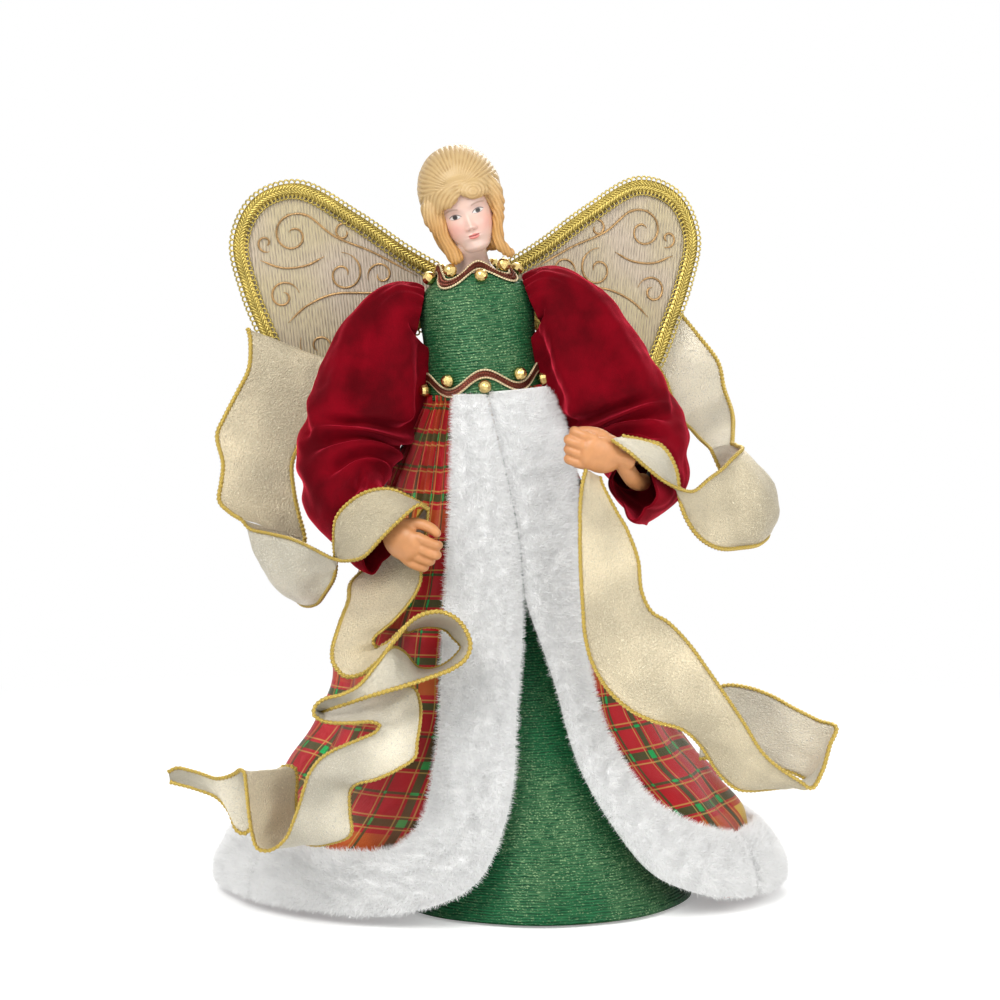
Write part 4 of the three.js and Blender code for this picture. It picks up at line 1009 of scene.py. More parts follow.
class TOPPER_OT_stage(bpy.types.Operator):
    """Makes the floor, lights and camera"""

    bl_idname = "topper.stage"
    bl_label = "Stage"

    # Lamps: place in metres, side, and share of the key light's power. They all aim at one point.
    LAMPS = {
        "key": ((-0.55, -1.1, 1.15), 0.9, 1.0),
        "fill": ((0.9, -0.9, 0.6), 0.9, 0.45),
        "rim": ((0.2, 1.0, 0.9), 0.8, 0.5),
    }
    AIM = (0, 0, 0.16)
    # Camera: place in millimetres, turn up from straight down, focal length and sensor width.
    EYE, TILT, LENS, SENSOR = (0, -1300, 300), math.radians(84.06), 113.96, 36.0
    # Floor: half its side and its level in metres, distances over which it fades out, and its own glow.
    FLOOR_HALF, FLOOR_LEVEL, FADE, GLOW = 6, -0.0006, (0.22, 0.6), 0.3

    def execute(self, context):
        scene, stage = context.scene, context.scene.topper_stage
        self.make_world(scene, stage)
        self.make_floor(stage)
        for name, (at, size, share) in self.LAMPS.items():
            data = bpy.data.lights.new(name, "AREA")
            data.energy, data.size = stage.key * share, size
            lamp = show(name, data)
            lamp.location = at
            lamp.rotation_euler = (Vector(self.AIM) - Vector(at)).to_track_quat("-Z", "Y").to_euler()
        data = bpy.data.cameras.new("camera")
        data.lens, data.sensor_width = self.LENS, self.SENSOR
        scene.camera = show("camera", data)
        scene.camera.location = place(self.EYE)
        scene.camera.rotation_euler = (self.TILT, 0, 0)
        scene.view_settings.view_transform = "Standard"
        return {"FINISHED"}

    def seen(self, graph):
        """1 for rays from the eye, straight or by way of a shiny or clear surface."""
        node = graph.add("ShaderNodeLightPath").socket.node
        rays = [Val(graph, node.outputs[n]) for n in ("Is Camera Ray", "Is Glossy Ray", "Is Transmission Ray")]
        return rays[0].most(rays[1]).most(rays[2])

    def make_world(self, scene, stage):
        """White as seen, and an even light of less power."""
        world = bpy.data.worlds.new("studio")
        world.use_nodes = True
        scene.world = world
        graph = Graph(world.node_tree)
        graph.tree.nodes.clear()
        strength = stage.sky + self.seen(graph) * (1.0 - stage.sky)
        sky = graph.add("ShaderNodeBackground", {}, {"Color": (1, 1, 1, 1), "Strength": strength})
        graph.add("ShaderNodeOutputWorld", {}, {"Surface": sky})

    def make_floor(self, stage):
        """A pale floor that fades into the background and keeps the shadow under the doll."""
        mesh = bpy.data.meshes.new("floor")
        half, level = self.FLOOR_HALF, self.FLOOR_LEVEL
        corners = [(x * half, y * half, level) for x, y in ((-1, -1), (1, -1), (1, 1), (-1, 1))]
        mesh.from_pydata(corners, [], [(0, 1, 2, 3)])
        material = bpy.data.materials.new("floor")
        material.use_nodes = True
        graph = Graph(material.node_tree)
        graph.tree.nodes.clear()
        x, y, _ = graph.parts(graph.add("ShaderNodeTexCoord", output="Object"))
        far = (x * x + y * y).root().step(*self.FADE)
        lit = graph.add("ShaderNodeBsdfDiffuse", {}, {"Color": (*stage.floor, 1)})
        pale = {"Color": (1, 1, 1, 1)}
        glow, white = (graph.add("ShaderNodeEmission", {}, {**pale, "Strength": x}) for x in (self.GLOW, 1.0))
        near = graph.add("ShaderNodeAddShader", {}, {0: lit, 1: glow})
        shown = graph.add("ShaderNodeMixShader", {}, {0: far, 1: near, 2: white})
        both = graph.add("ShaderNodeMixShader", {}, {0: self.seen(graph), 1: lit, 2: shown})
        graph.add("ShaderNodeOutputMaterial", {}, {"Surface": both})
        mesh.materials.append(material)
        floor = show("floor", mesh)


class TOPPER_OT_core(bpy.types.Operator):
    """Finishes the card cone, the torso block and the wires"""

    bl_idname = "topper.core"
    bl_label = "Cone, torso and wires"

    def execute(self, context):
        card = speckled("card", (0.44, 0.33, 0.21), (0.3, 0.21, 0.13), 700.0, {"Roughness": 0.9})
        foam = speckled("torso_foam", (0.62, 0.47, 0.3), (0.5, 0.36, 0.22), 900.0, {"Roughness": 0.85})
        bright = {"Roughness": 0.38, "Metallic": 1.0}
        steel = speckled("steel_wire", (0.42, 0.43, 0.44), (0.26, 0.26, 0.27), 1200.0, bright, 0.00005)
        nodes = {"base_cone": card, "torso_block": foam}
        for side in SIGN:
            nodes[f"arm_wire_{side}"] = nodes[f"wing_wire_{side}"] = steel
        for name, finish in nodes.items():
            data = frame["nodes"][name].data
            data.materials.clear()
            data.materials.append(finish)
        return {"FINISHED"}


class TOPPER_OT_green_knit(bpy.types.Operator):
    """Makes the green skirt on the cone and the bodice"""

    bl_idname = "topper.green_knit"
    bl_label = "Green skirt and bodice"

    # The cone: radius at its foot, how far it narrows over a height, and how high the skirt goes up it.
    FOOT, NARROWS, HEIGHT, TOP = 60.8, 47.5, 198, 186

    def execute(self, context):
        cloth = context.scene.topper_cloth
        knit = lurex("green_knit", cloth.knit_green, cloth.knit_glint)
        cols, rows = 220, 90
        angle = np.linspace(-math.pi, math.pi, cols, endpoint=False)
        foot = np.zeros(cols)
        for _ in range(4):
            foot = (0.6 - self.radius(foot) * np.sin(angle) * math.sin(LEAN)) / math.cos(LEAN)
        z = foot + (self.TOP - foot) * np.linspace(0, 1, rows)[:, None]
        wave = 0.25 + 0.25 * ripples(50 * np.sin(angle), z * 0.6 + 50 * np.cos(angle), 40, 5)
        wave = np.maximum(wave, 0) + 1.1 * (1 - smooth(z - foot, 0, 9)) * (0.75 + 0.25 * np.cos(9 * angle))

        def cone(offset):
            r = self.radius(z) + offset
            return to_root(np.stack([r * np.sin(angle), -r * np.cos(angle), z], -1))

        around = np.append(angle, math.pi)
        uv = chart(around * 0.045, np.linspace(0, 0.195, rows)[:, None])
        skirt = slab("green_underskirt_cloth", cone(1 + wave), cone(0.05), [knit], uv, closed=True)
        dress(skirt, "figure", "green_lurex", "green_underskirt")
        round(grid_area(cone(0.5), True), 4)

        k = np.linspace(1.5, 52, 60)[:, None]
        pull = 0.1 * ripples(22 * np.sin(angle), k + 22 * np.cos(angle), 16, 8)
        outer, inner = (on_bodice(angle, k, pull + d) for d in (0, -1.0))
        uv = chart(around * 0.021, k / 1000)
        bodice = slab("bodice_cloth", outer, inner, [knit], uv, closed=True)
        dress(bodice, "figure", "green_lurex", "bodice")
        cut_length(outer, 0.13, True)
        return {"FINISHED"}

    def radius(self, z):
        """The cone's radius at a height."""
        return self.FOOT - self.NARROWS * z / self.HEIGHT


class TOPPER_OT_overskirt(bpy.types.Operator):
    """Makes the gathered tartan overskirt"""

    bl_idname = "topper.overskirt"
    bl_label = "Tartan overskirt"

    def execute(self, context):
        cloth = context.scene.topper_cloth
        check = tartan("tartan_satin", cloth.tartan_red, cloth.tartan_green, cloth.tartan_gold)
        rows, cols = 110, 480
        s = np.linspace(-0.02, 0.9758, rows)[:, None]
        c = np.linspace(0, 1, cols)
        right, left = front_edge(RIGHT_EDGE, s), front_edge(LEFT_EDGE, s) - math.tau
        angle = right + (left - right) * c
        waist = 1 - smooth(s, 0.0, 0.13)
        gather = (1 - smooth(s, 0.16, 0.5)) * (np.cos(math.tau * (34 * c + 0.4 * np.sin(9 * c * math.tau))) - 1)
        drape = np.abs(np.sin(math.pi * (9 * c + 0.5 * s + 0.35 * np.sin(5 * c * math.tau)))) ** 0.7 - 0.8
        crease = ripples(c * 500, s * 220, 30, 11) - 0.6
        clear = smooth(c, 0.0, 0.05) * (1 - smooth(c, 0.95, 1)) * (1 - smooth(s, 0.84, 0.9))
        lift = 2.1 * waist + (0.75 + 0.35 * waist) * gather
        puff = 2.2 * ripples(c * 500, s * 200, 75, 13) * smooth(s, 0.3, 0.6) + 2.6 * hump(s, 0.8, 0.09)
        hip = 5.0 * hump(s, 0.17, 0.12) * hump(angle, -1.5, 0.7)
        lift = lift + hip + clear * smooth(s, 0.06, 0.3) * (3.0 * drape + puff + cloth.crumple * 1000 * crease)
        front, back = bell(angle, s, lift), bell(angle, s, lift - 0.7)
        uv = chart(c * 0.5, s * 0.235)
        skirt = slab("overskirt_cloth", front, back, [check], uv)
        dress(skirt, "figure", "tartan", "overskirt")
        round(grid_area(front), 4)
        return {"FINISHED"}


class TOPPER_OT_fur(bpy.types.Operator):
    """Makes the plush bands of the overskirt, with their pile"""

    bl_idname = "topper.fur"
    bl_label = "Fur bands"

    # One strand a metre long, to be brought to the pile's length; steps along the bands and across.
    STRAND = [(-50, 0, -200), (50, 0, -200), (0, 150, 1000)]
    STEPS = {"front_right": 240, "front_left": 240, "hem": 420}
    ACROSS = 28

    def execute(self, context):
        trim = context.scene.topper_trim
        white = plush("plush", trim.fur_white)
        tree = pile_tree()
        for seed, (key, edges) in enumerate(FUR_EDGES.items()):
            top, base, width = self.band(np.array(edges, float), self.STEPS[key], seed)
            name = f"fur_{key}"
            felt = slab(name + "_cloth", top, base, [white])
            dress(felt, "figure", "fur", name)
            n = top.shape[1]
            r, c = np.mgrid[: len(top) - 1, : n - 1].reshape(2, -1)
            faces = np.stack([r * n + c, (r + 1) * n + c, (r + 1) * n + c + 1, r * n + c + 1], 1)
            middle = len(top) // 2, n // 2
            if grid_normals(top)[middle] @ (top - base)[middle] > 0:
                faces = faces[:, ::-1]
            host = build(name + "_ground", top.reshape(-1, 3), faces.tolist(), [])
            strand = pattern_piece("strand", self.STRAND, [(0, 1, 2)])
            growth = {
                "Density": trim.pile_count * 1e4, "Length": trim.pile_length, "Spread": 0.42,
                "Seed": seed + 1, "Strand": strand, "Finish": white,
            }
            pile = grow(name + "_pile", host, tree, growth)
            bpy.data.objects.remove(strand)
            dress(pile, "figure", "fur")
            cut_length(top, width)
        return {"FINISHED"}

    def band(self, edges, steps, seed):
        """Upper and lower grids of a band between two edges on the bell, and its greatest width in metres."""
        t = np.linspace(0, 1, steps)
        near, far = (
            spline(np.column_stack([edges[:, i], np.radians(edges[:, i + 1]), 0 * edges[:, i]]), t) for i in (0, 2)
        )
        wide = np.linalg.norm(bell(near[:, 1], near[:, 0]) - bell(far[:, 1], far[:, 0]), axis=-1)
        w = np.linspace(-0.47, 0.47, self.ACROSS)
        at = near[:, None] + (far - near)[:, None] * (w + 0.5)[:, None]
        along = lengths(bell((near + far)[:, 1] / 2, (near + far)[:, 0] / 2))[:, None]
        crown = np.clip(1 - np.abs(w / 0.5) ** 3.2, 0, 1) ** 0.5
        ends = np.clip(np.minimum(t, 1 - t) * steps / 4, 0.4, 1)[:, None]
        lump = sum(h * ripples(along, w * wide[:, None] + seed * 31, x, 40 + seed) for h, x in ((0.6, 14), (0.35, 6)))
        height = (5.0 + lump) * crown * ends + 0.5
        grids = (bell(at[..., 1], at[..., 0], 0.8 + h) for h in (height, 0 * height))
        return *grids, round(float(wide.max()) / 1000, 3)


def arm_points(side):
    """The arm wire's points in the leaning doll."""
    return np.array(ARM_WIRE[side], float) + (SIGN[side] * SHOULDER_OUT, 0, SHOULDER)


class TOPPER_OT_sleeves(bpy.types.Operator):
    """Makes the velvet sleeves and the wadding in them"""

    bl_idname = "topper.sleeves"
    bl_label = "Sleeves"

    # Creases of a sleeve: from and to, as points of the arm wire and degrees from the front to the body; depth, width.
    CREASES = [
        (4.5, 110, 5.5, -45, 5.0, 3.0), (4.0, 95, 4.9, -20, 3.4, 2.8), (5.2, 100, 6.2, -25, 3.6, 2.6),
        (1.7, 35, 4.3, 80, 3.4, 4.0), (2.0, -35, 4.7, 15, 2.8, 4.5), (4.6, -110, 5.3, -40, 2.2, 3.0),
        (5.6, -120, 6.3, -60, 1.8, 2.6), (4.7, 190, 5.3, 110, 3.0, 3.0), (2.4, 170, 4.3, 130, 2.6, 4.5),
        (2.2, 240, 4.4, 215, 2.4, 4.5), (5.5, 200, 6.3, 130, 2.4, 2.8), (6.3, 60, 7.3, -30, 2.0, 2.2),
    ]

    def execute(self, context):
        pile = velvet("red_velvet", context.scene.topper_cloth.velvet_red)
        fibre = speckled("wadding", (0.82, 0.81, 0.78), (0.66, 0.65, 0.62), 500.0, {"Roughness": 1.0}, 0.0006)
        for seed, side in enumerate(SIGN):
            body = f"arm_{side}"
            k = np.linspace(2, 5.5, 50)
            w = circle(40)
            lumps = 0.8 * ripples(14 * np.cos(w), k[:, None] * 12 + 14 * np.sin(w), 15, 70 + seed) - 1.0
            outer = self.puffed(side, k, w, lumps - 5.2)
            inner = self.rings(side, k, w, *np.full((2, len(k), len(w)), 1.5))
            wad = slab(f"sleeve_fill_{side}", outer, inner, [fibre], closed=True)
            dress(wad, body, "wadding", f"sleeve_wadding_{side}")

            k = np.linspace(1.15, 8, 170)
            w = circle(150)
            folds, arc = self.folds(side, k, w, seed)
            outer, inner = (self.puffed(side, k, w, folds - depth) for depth in (0, 0.9))
            around = np.append(w, math.tau) * 0.015
            uv = chart(around, arc[:, None] / 1000)
            sleeve = slab(f"sleeve_cloth_{side}", outer, inner, [pile], uv, closed=True)
            dress(sleeve, body, "velvet", f"sleeve_{side}")
            cut_length(outer, 0.1, True)
        return {"FINISHED"}

    def line(self, side, k):
        """Points of the arm wire with their directions, normals and sides."""
        path = spline(arm_points(side), k / 9)
        return path, *frames_along(path, (0, 1, 0))

    def rings(self, side, k, w, a, b):
        """Rings about the arm wire, of these radii along its normals and sides."""
        path, _, normal, across = self.line(side, k)
        a, b = (a * np.cos(w))[..., None], (b * np.sin(w))[..., None]
        return to_root(path[:, None] + normal[:, None] * a + across[:, None] * b)

    def puffed(self, side, k, w, relief):
        """Rings of the sleeve's own radii with a relief."""
        return self.rings(side, k, w, *(through(rows, k)[:, None] + relief for rows in (SLEEVE_FRONT, SLEEVE_SIDE)))

    def folds(self, side, k, w, seed):
        """Gathers at the shoulder, creases in the crook of the elbow, and flutes at the cuff."""
        path, _, normal, across = self.line(side, k)
        arc = lengths(path)
        inward = -SIGN[side] * (normal[:, :1] * np.cos(w) + across[:, :1] * np.sin(w))
        front = -normal[:, 1:2] * np.cos(w) - across[:, 1:2] * np.sin(w)
        turn = np.arctan2(inward, front)
        rows, s = k[:, None], arc[:, None]
        relief = 0.8 * np.cos(15 * w + 1.5 * np.sin(3 * w)) * np.exp(-(rows - 1.15) / 0.6)
        for k0, turn0, k1, turn1, depth, width in self.CREASES:
            x, y = s - np.interp(k0, k, arc), 16 * ((turn - math.radians(turn0) + math.pi) % math.tau - math.pi)
            dx, dy = np.interp(k1, k, arc) - np.interp(k0, k, arc), 16 * math.radians(turn1 - turn0)
            t = (x * dx + y * dy) / (dx * dx + dy * dy)
            bow = 2.5 * np.sin(math.pi * np.clip(t, 0, 1) + seed)
            off = np.abs((x * dy - y * dx) / math.hypot(dx, dy) + bow)
            fade = smooth(t, -0.1, 0.3) * (1 - smooth(t, 0.7, 1.1)) * (0.85 + 0.15 * math.cos(9 * depth + seed))
            relief = relief + depth * fade * (0.5 * hump(off, 2 * width, width) - hump(off, 0, width))
        relief = relief + 1.5 * smooth(rows, 6.4, 8) * np.cos(5 * w + 0.7 + seed)
        for height, length in ((0.5, 19), (0.2, 8)):
            relief = relief + height * ripples(15 * np.cos(w), s + 15 * np.sin(w), length, 21 + seed)
        full = 7.2 * hump(rows, 4.1, 1.95) * smooth(inward, 0.1, 0.9)
        return np.clip(relief, -4.2, 2.2) + full, arc


def fused(name, parts, finish, voxel, rounds):
    """Closed shapes melted into one smooth moulding."""
    rough = solid(name + "_parts", parts, finish)
    melt = rough.modifiers.new("melt", "REMESH")
    melt.mode, melt.voxel_size = "VOXEL", voxel
    soften = rough.modifiers.new("soften", "SMOOTH")
    soften.factor, soften.iterations = 0.5, rounds
    obj = settle(name, rough)
    if not obj.data.materials:
        obj.data.materials.append(finish)
    return obj


class TOPPER_OT_hands(bpy.types.Operator):
    """Makes the moulded hands"""

    bl_idname = "topper.hands"
    bl_label = "Hands"

    # Hands: where the fingers and the thumb point, how far the fingers are curled, and which hand it is.
    HANDS = {"right": ((18, -12, -15), (0.35, -0.2, 1), 0.45, 1), "left": ((-19, -8, 7), (0.35, -0.15, 1), 1.0, -1)}
    SCALE = 1.22

    def execute(self, context):
        tone = context.scene.topper_figure.hand
        flesh = {"Subsurface Weight": 0.1, "Subsurface Radius": (0.9, 0.4, 0.2), "Subsurface Scale": 0.002}
        skin = speckled("hand_skin", tone, scaled(tone, 0.86), 260.0, {"Roughness": 0.42, **flesh}, 0.00005)
        for side, (finger, thumb, curl, hand) in self.HANDS.items():
            x = unit(np.array(finger, float))
            y = unit(np.cross(thumb, x)) * hand
            z = np.cross(x, y) * hand
            turn = np.stack([x, y, z]) * self.SCALE
            wrist = arm_points(side)[-1]
            parts = [(to_root(p @ turn + wrist), f, m) for p, f, m in self.parts(curl)]
            parts.append(tube(to_root(spline(arm_points(side), np.linspace(0.78, 1, 16))), 3.6, 14))
            obj = fused(f"hand_moulding_{side}", parts, skin, 0.00045, 5)
            dress(obj, f"arm_{side}", "hand_skin", f"hand_{side}")
        return {"FINISHED"}

    def parts(self, curl):
        """Palm, wrist, thumb and fingers: the wrist at the origin, fingers along +X, thumb side +Z."""
        t = np.linspace(0, 1, 14)
        rounded = np.where((t == 0) | (t == 1), 0.55, 1)

        def finger(points, radii):
            return tube(spline(points, t), through(radii, t) * rounded, 12, (0, 0.3, 1))

        def bent(straight, curled):
            return straight + (curled - straight) * curl

        parts = [
            ball((6.3, 0, -0.4), 7.6, 3.3, 6.1),
            ball((9.5, -0.4, -0.3), 4.6, 2.7, 5.8),
            finger([(-5, 0, 0), (0, 0, 0), (6, 0, 0)], [[0, 3.5], [0.5, 3.1], [1, 3.3]]),
            ball((4.6, 1.2, 3.8), 4.2, 2.6, 2.8),
            finger(
                [(3.5, 1, 3.6), (8, 2 + curl, 8.2 - 2.6 * curl), (12.5, 2.4 + 3 * curl, 10.2 - 5.5 * curl),
                 (15.8, 2.6 + 4 * curl, 10 - 6.5 * curl)],
                [[0, 2.3], [0.35, 1.95], [0.7, 1.8], [1, 1.35]],
            ),
        ]
        for i in range(4):
            z = 4.4 - 3.1 * i
            reach = 1 - 0.06 * abs(i - 1)
            points = [
                (9.5, -0.2, z * 0.93), (15 * reach, 0.4 + curl, z),
                (bent(18.5, 17.5) * reach, bent(2.2, 4), z), (bent(20.8, 14) * reach, bent(4.4, 6.8), z * 0.97),
            ]
            parts.append(finger(points, [[0, 1.75], [0.3, 1.8], [0.5, 1.62], [0.66, 1.72], [1, 1.25]]))
        return parts


class TOPPER_OT_head(bpy.types.Operator):
    """Makes the porcelain face, neck and shoulders, and the moulded hair"""

    bl_idname = "topper.head"
    bl_label = "Head"

    # The face at heights from between the eyes: half its width, and how far forward it lies.
    FACE_HALF = [
        [-16.6, 0.4], [-16, 3.0], [-14.6, 5.2], [-12, 7.3], [-9, 9.0], [-5, 10.3], [0, 10.8], [6, 10.8],
        [12, 9.5], [17, 6],
    ]
    FACE_FRONT = [
        [-16.6, -6], [-15.8, -2.6], [-14.4, -1.1], [-12.4, -1.0], [-9, 0.1], [-4, 0.2], [0, -0.5], [4, -0.3],
        [9, -1.3], [17, -7],
    ]
    # Forms on it: how far out and up, how wide and high they spread, and how far they stand out.
    FORMS = [
        (1.75, -5.7, 0.85, 0.8, 0.75), (4.8, 0.5, 2.7, 1.9, -1.15), (EYE_OUT, 0.05, 1.9, 1.1, 0.75),
        (5.4, 3.0, 3.2, 1.2, 0.3), (6.2, -4.6, 3.2, 3.0, 0.65), (0, -8.5, 1.9, 0.55, 0.55), (0.2, -9.8, 1.6, 0.7, 0.7),
        (0, -9.05, 2.6, 0.25, -0.4), (0, -11.2, 2.2, 0.7, -0.35), (0, -13.4, 2.6, 1.7, 0.8), (0, -7.4, 0.6, 0.6, -0.2),
    ]
    # Edges of the hair: the fringe at places across, the temples at heights, and where the hair parts.
    HAIRLINE = [
        [-10.1, 2.4], [-8.8, 4.2], [-5, 4.6], [-2.2, 6.3], [0.2, 8.5], [1.4, 7.3], [3.9, 5.2], [7.6, 4.7],
        [10.9, 4.5], [11.8, 1.6],
    ]
    TEMPLE_LEFT = [[-20, -5], [-12, -6.1], [-9.3, -7.9], [-5.3, -9.7], [-0.7, -10.4], [2.4, -10.1], [8, -10]]
    TEMPLE_RIGHT = [[-20, 5], [-13.2, 5.5], [-9.9, 7.1], [-6.3, 9.2], [-2.5, 10.7], [1.6, 11.4], [8, 11.6]]
    PART_AT = (0.4, 14.2)
    # Locks: points, and radii at shares of the length.
    LOCKS = [
        ([(-12.4, 10, -8), (-13.1, 3, -6.5), (-12.2, -3.5, -5.8), (-11.4, -8.5, -5.8), (-10.4, -13, -6),
          (-9.6, -18.5, -6.3)], [[0, 4.2], [0.2, 4.5], [0.4, 3.4], [0.6, 2.7], [0.8, 3.0], [1, 3.3]]),
        ([(12.8, 10, -8), (13.8, 2, -6.5), (12.0, -5, -5.8), (9.9, -10.5, -5.4), (9.0, -16, -5.4),
          (12.6, -22.6, -6.6)], [[0, 4.2], [0.2, 2.9], [0.4, 2.4], [0.6, 2.3], [0.8, 2.4], [1, 2.2]]),
        ([(-8, 0, -24), (-9, -6, -22), (-8.6, -13, -18.5), (-7, -18, -17)], [[0, 8], [0.5, 6.6], [1, 3.4]]),
        ([(7, 0, -24), (7, -6, -22), (6.6, -13, -18.5), (6.6, -19, -17)], [[0, 8], [0.5, 5.8], [1, 3.2]]),
        ([(0, 0, -27), (0, -7, -25), (0, -14, -20), (0, -19, -18)], [[0, 9], [0.5, 7.4], [1, 4]]),
    ]
    TIP = math.cos(FACE_TIP), math.sin(FACE_TIP)
    NOD = math.cos(FACE_NOD), math.sin(FACE_NOD)

    def execute(self, context):
        figure = context.scene.topper_figure
        face = self.make_face(bisque("bisque", figure.skin))
        dress(face, "figure", "porcelain", "porcelain_head")
        hair = self.make_hair(painted_hair("painted_hair", figure.hair, figure.hair_shade))
        dress(hair, "figure", "porcelain")
        return {"FINISHED"}

    def from_face(self, p):
        """Points across, up and out from between the eyes, in the upright frame."""
        (c, s), (nod, dip) = self.TIP, self.NOD
        a, b, d = np.moveaxis(np.asarray(p, float), -1, 0)
        up, out = b * nod - d * dip, b * dip + d * nod
        return np.stack([a * c - up * s, -out, a * s + up * c], -1) + FACE_AT

    def make_face(self, finish):
        """Skin of the face as a half shell, with the neck and shoulders as a second skin below it."""
        rows, cols = 150, 130
        b = np.linspace(-16.6, 17, rows)[:, None]
        turn = np.linspace(-1.5, 1.5, cols)
        half, front = through(self.FACE_HALF, b), through(self.FACE_FRONT, b)
        a = half * np.sin(turn) + 0 * b
        d = front - np.minimum(half * 1.05, 11) * (1 - np.cos(turn))
        ridge = np.interp(b, [-7, -6.4, -5.3, -2.5, 0.5, 2.5], [0, 1.2, 2.2, 1.1, 0.35, 0])
        d = d + ridge * hump(a, 0.1, np.interp(b, [-6, 0], [1.6, 1.4]))
        for x, y, wide, high, height in self.FORMS:
            d = d + height * hump(np.abs(a), x, wide) * hump(b, y, high)
        skin = chart(a, b, d)
        inner = skin * (0.94, 0.94, 1) - (0, 0, 1.5)
        uv = chart(a, b) / 1000
        outer, inner = self.from_face(skin), self.from_face(inner)
        face = slab("porcelain_face", outer, inner, [finish], uv)
        body = solid("porcelain_shoulders", [self.shoulders()], finish)
        bpy.context.view_layer.objects.active = face
        for obj in bpy.context.selected_objects:
            obj.select_set(False)
        face.select_set(True)
        body.select_set(True)
        body.data.uv_layers[0].data.foreach_set("uv", np.full(2 * len(body.data.loops), 0.1, np.float32))
        bpy.ops.object.join()
        return face

    def shoulders(self):
        """Shoulder plate under the bodice and neck up into the head."""
        w = circle(56)
        plate = ((42.4, 1.9), (44, 1.9), (46, 2.1), (48, 2.6), (50, 3.6))
        rings = [on_bodice(w, k, -inset) for k, inset in plate]
        base = to_root((0, 0, WAIST + 50))
        top = self.from_face((0.3, -6, -9))
        t = np.linspace(0.12, 1, 14)
        line = spline([base, base + (-0.6, -0.4, 6), top - (0.4, -1, 8), top], t)
        wide = through([[0, 12], [0.2, 8.6], [0.45, 6.7], [0.75, 6.3], [1, 6.6]], t)
        deep = through([[0, 9], [0.2, 7.6], [0.45, 6.3], [0.75, 6.1], [1, 6.6]], t)
        for p, rx, ry in zip(line, wide, deep):
            rings.append(p + np.stack([rx * np.sin(w), -ry * np.cos(w), 0.1 * rx * np.sin(w)], -1))
        return loft(rings)

    def make_hair(self, finish):
        """Crown, fringe and locks melted into one moulding, then combed."""
        t = np.linspace(0, 1, 60)
        ends = np.sqrt(np.clip(1 - ((t - 0.5) / 0.505) ** 14, 0.02, 1))
        locks = [tube(spline(points, t), through(radii, t) * ends, 28, (0, 0, 1)) for points, radii in self.LOCKS]
        parts = [(self.from_face(p), f, m) for p, f, m in (self.cap(), *locks)]
        hair = fused("porcelain_hair", parts, finish, 0.00036, 9)
        mesh = hair.data
        co, out = np.empty((2, 3 * len(mesh.vertices)))
        mesh.vertices.foreach_get("co", co)
        mesh.vertex_normals.foreach_get("vector", out)
        comb, low = self.comb(*self.to_face(co.reshape(-1, 3) * 1000 - SHIFT))
        mesh.vertices.foreach_set("co", co + out * np.repeat(comb, 3) * 0.0003)
        mesh.update()
        corner = np.empty(len(mesh.loops), np.int32)
        mesh.loops.foreach_get("vertex_index", corner)
        layer = mesh.uv_layers.new(name="cut")
        pairs = np.column_stack([0.5 - 0.5 * comb, low])[corner]
        layer.data.foreach_set("uv", pairs.astype(np.float32).ravel())
        return hair

    def to_face(self, p):
        """How far across, up and out from between the eyes points of the upright frame lie."""
        (c, s), (nod, dip) = self.TIP, self.NOD
        x, y, z = np.moveaxis(p - np.array(FACE_AT), -1, 0)
        a, up, out = x * c + z * s, z * c - x * s, -y
        return a, up * nod + out * dip, out * nod - up * dip

    def cap(self):
        """Crown and fringe: rings about the line of sight, sunk under the face inside the hairline."""
        rows, cols = 110, 180
        polar = np.linspace(0.03, math.pi - 0.03, rows)[:, None]
        w = circle(cols)
        ray = chart(np.sin(polar) * np.sin(w), np.sin(polar) * np.cos(w), np.cos(polar))
        reach = 1 / np.linalg.norm(ray / (16.9, 18.9, 16.4), axis=-1)
        centre = np.array((0.1, 8.8, -15))
        a, b, d = np.moveaxis(ray * reach[..., None] + centre, -1, 0)
        inside = np.minimum(a - through(self.TEMPLE_LEFT, b), through(self.TEMPLE_RIGHT, b) - a)
        inside = np.minimum(through(self.HAIRLINE, a) - b, inside)
        sunk, front = smooth(inside, -0.1, 1.0) * (d > -13), d > -12
        roll = hump(inside, -2.2, 1.9) * front
        parting = hump(b - 14.4 + 0.13 * np.abs(a), 0, 1.1) * smooth(-np.abs(a), -12, -5) * front
        wave = hump(a, 6.3, 3.6) * hump(b, 9.8, 3.0) * front
        reach = (reach + 1.0 * roll - 0.7 * parting + 1.1 * wave) * (1 - 0.3 * sunk)
        return loft(ray * reach[..., None] + centre)

    def comb(self, a, b, d):
        """Combed strands (-1 in a groove, 1 on a strand) and how low on the hair each point lies."""
        x, y = a - self.PART_AT[0], b - self.PART_AT[1]
        stray = ripples(a + 0.7 * d, b, 19, 51)
        fan = np.cos(46 * np.arctan2(x, y + 3) + 1.6 * stray) * smooth(np.hypot(x, y), 1.0, 6)
        drop = np.minimum(b + 1, 0)
        ring = np.hypot(np.abs(a) + 0.25 * drop * smooth(drop, -12, 0), 0.8 * np.maximum(b + 1, 0))
        sweep = np.cos(math.tau * (ring / 1.45 + 0.3 * stray))
        curl = np.cos(math.tau * (np.hypot(a - 5.6, 1.2 * (b - 8.2)) / 1.5 + 0.25 * stray))
        near = 1 - smooth(np.hypot(a - 5.6, b - 8.2), 4.5, 7.5)
        front = sweep * (1 - near) + 0.6 * curl * near
        below = smooth(-y - 0.16 * np.abs(x), -0.6, 1.2)
        lines = fan * (1 - below) + front * below
        behind = np.cos(34 * np.arctan2(a, -(d + 13)) + 1.8 * stray) * smooth(np.hypot(a, d + 15), 2, 8)
        back = smooth(-d, 12, 17)
        deep = 0.65 + 0.35 * ripples(a, b - d, 7, 53)
        return (lines * (1 - back) + behind * back) * deep, smooth(-b, -15, 9)


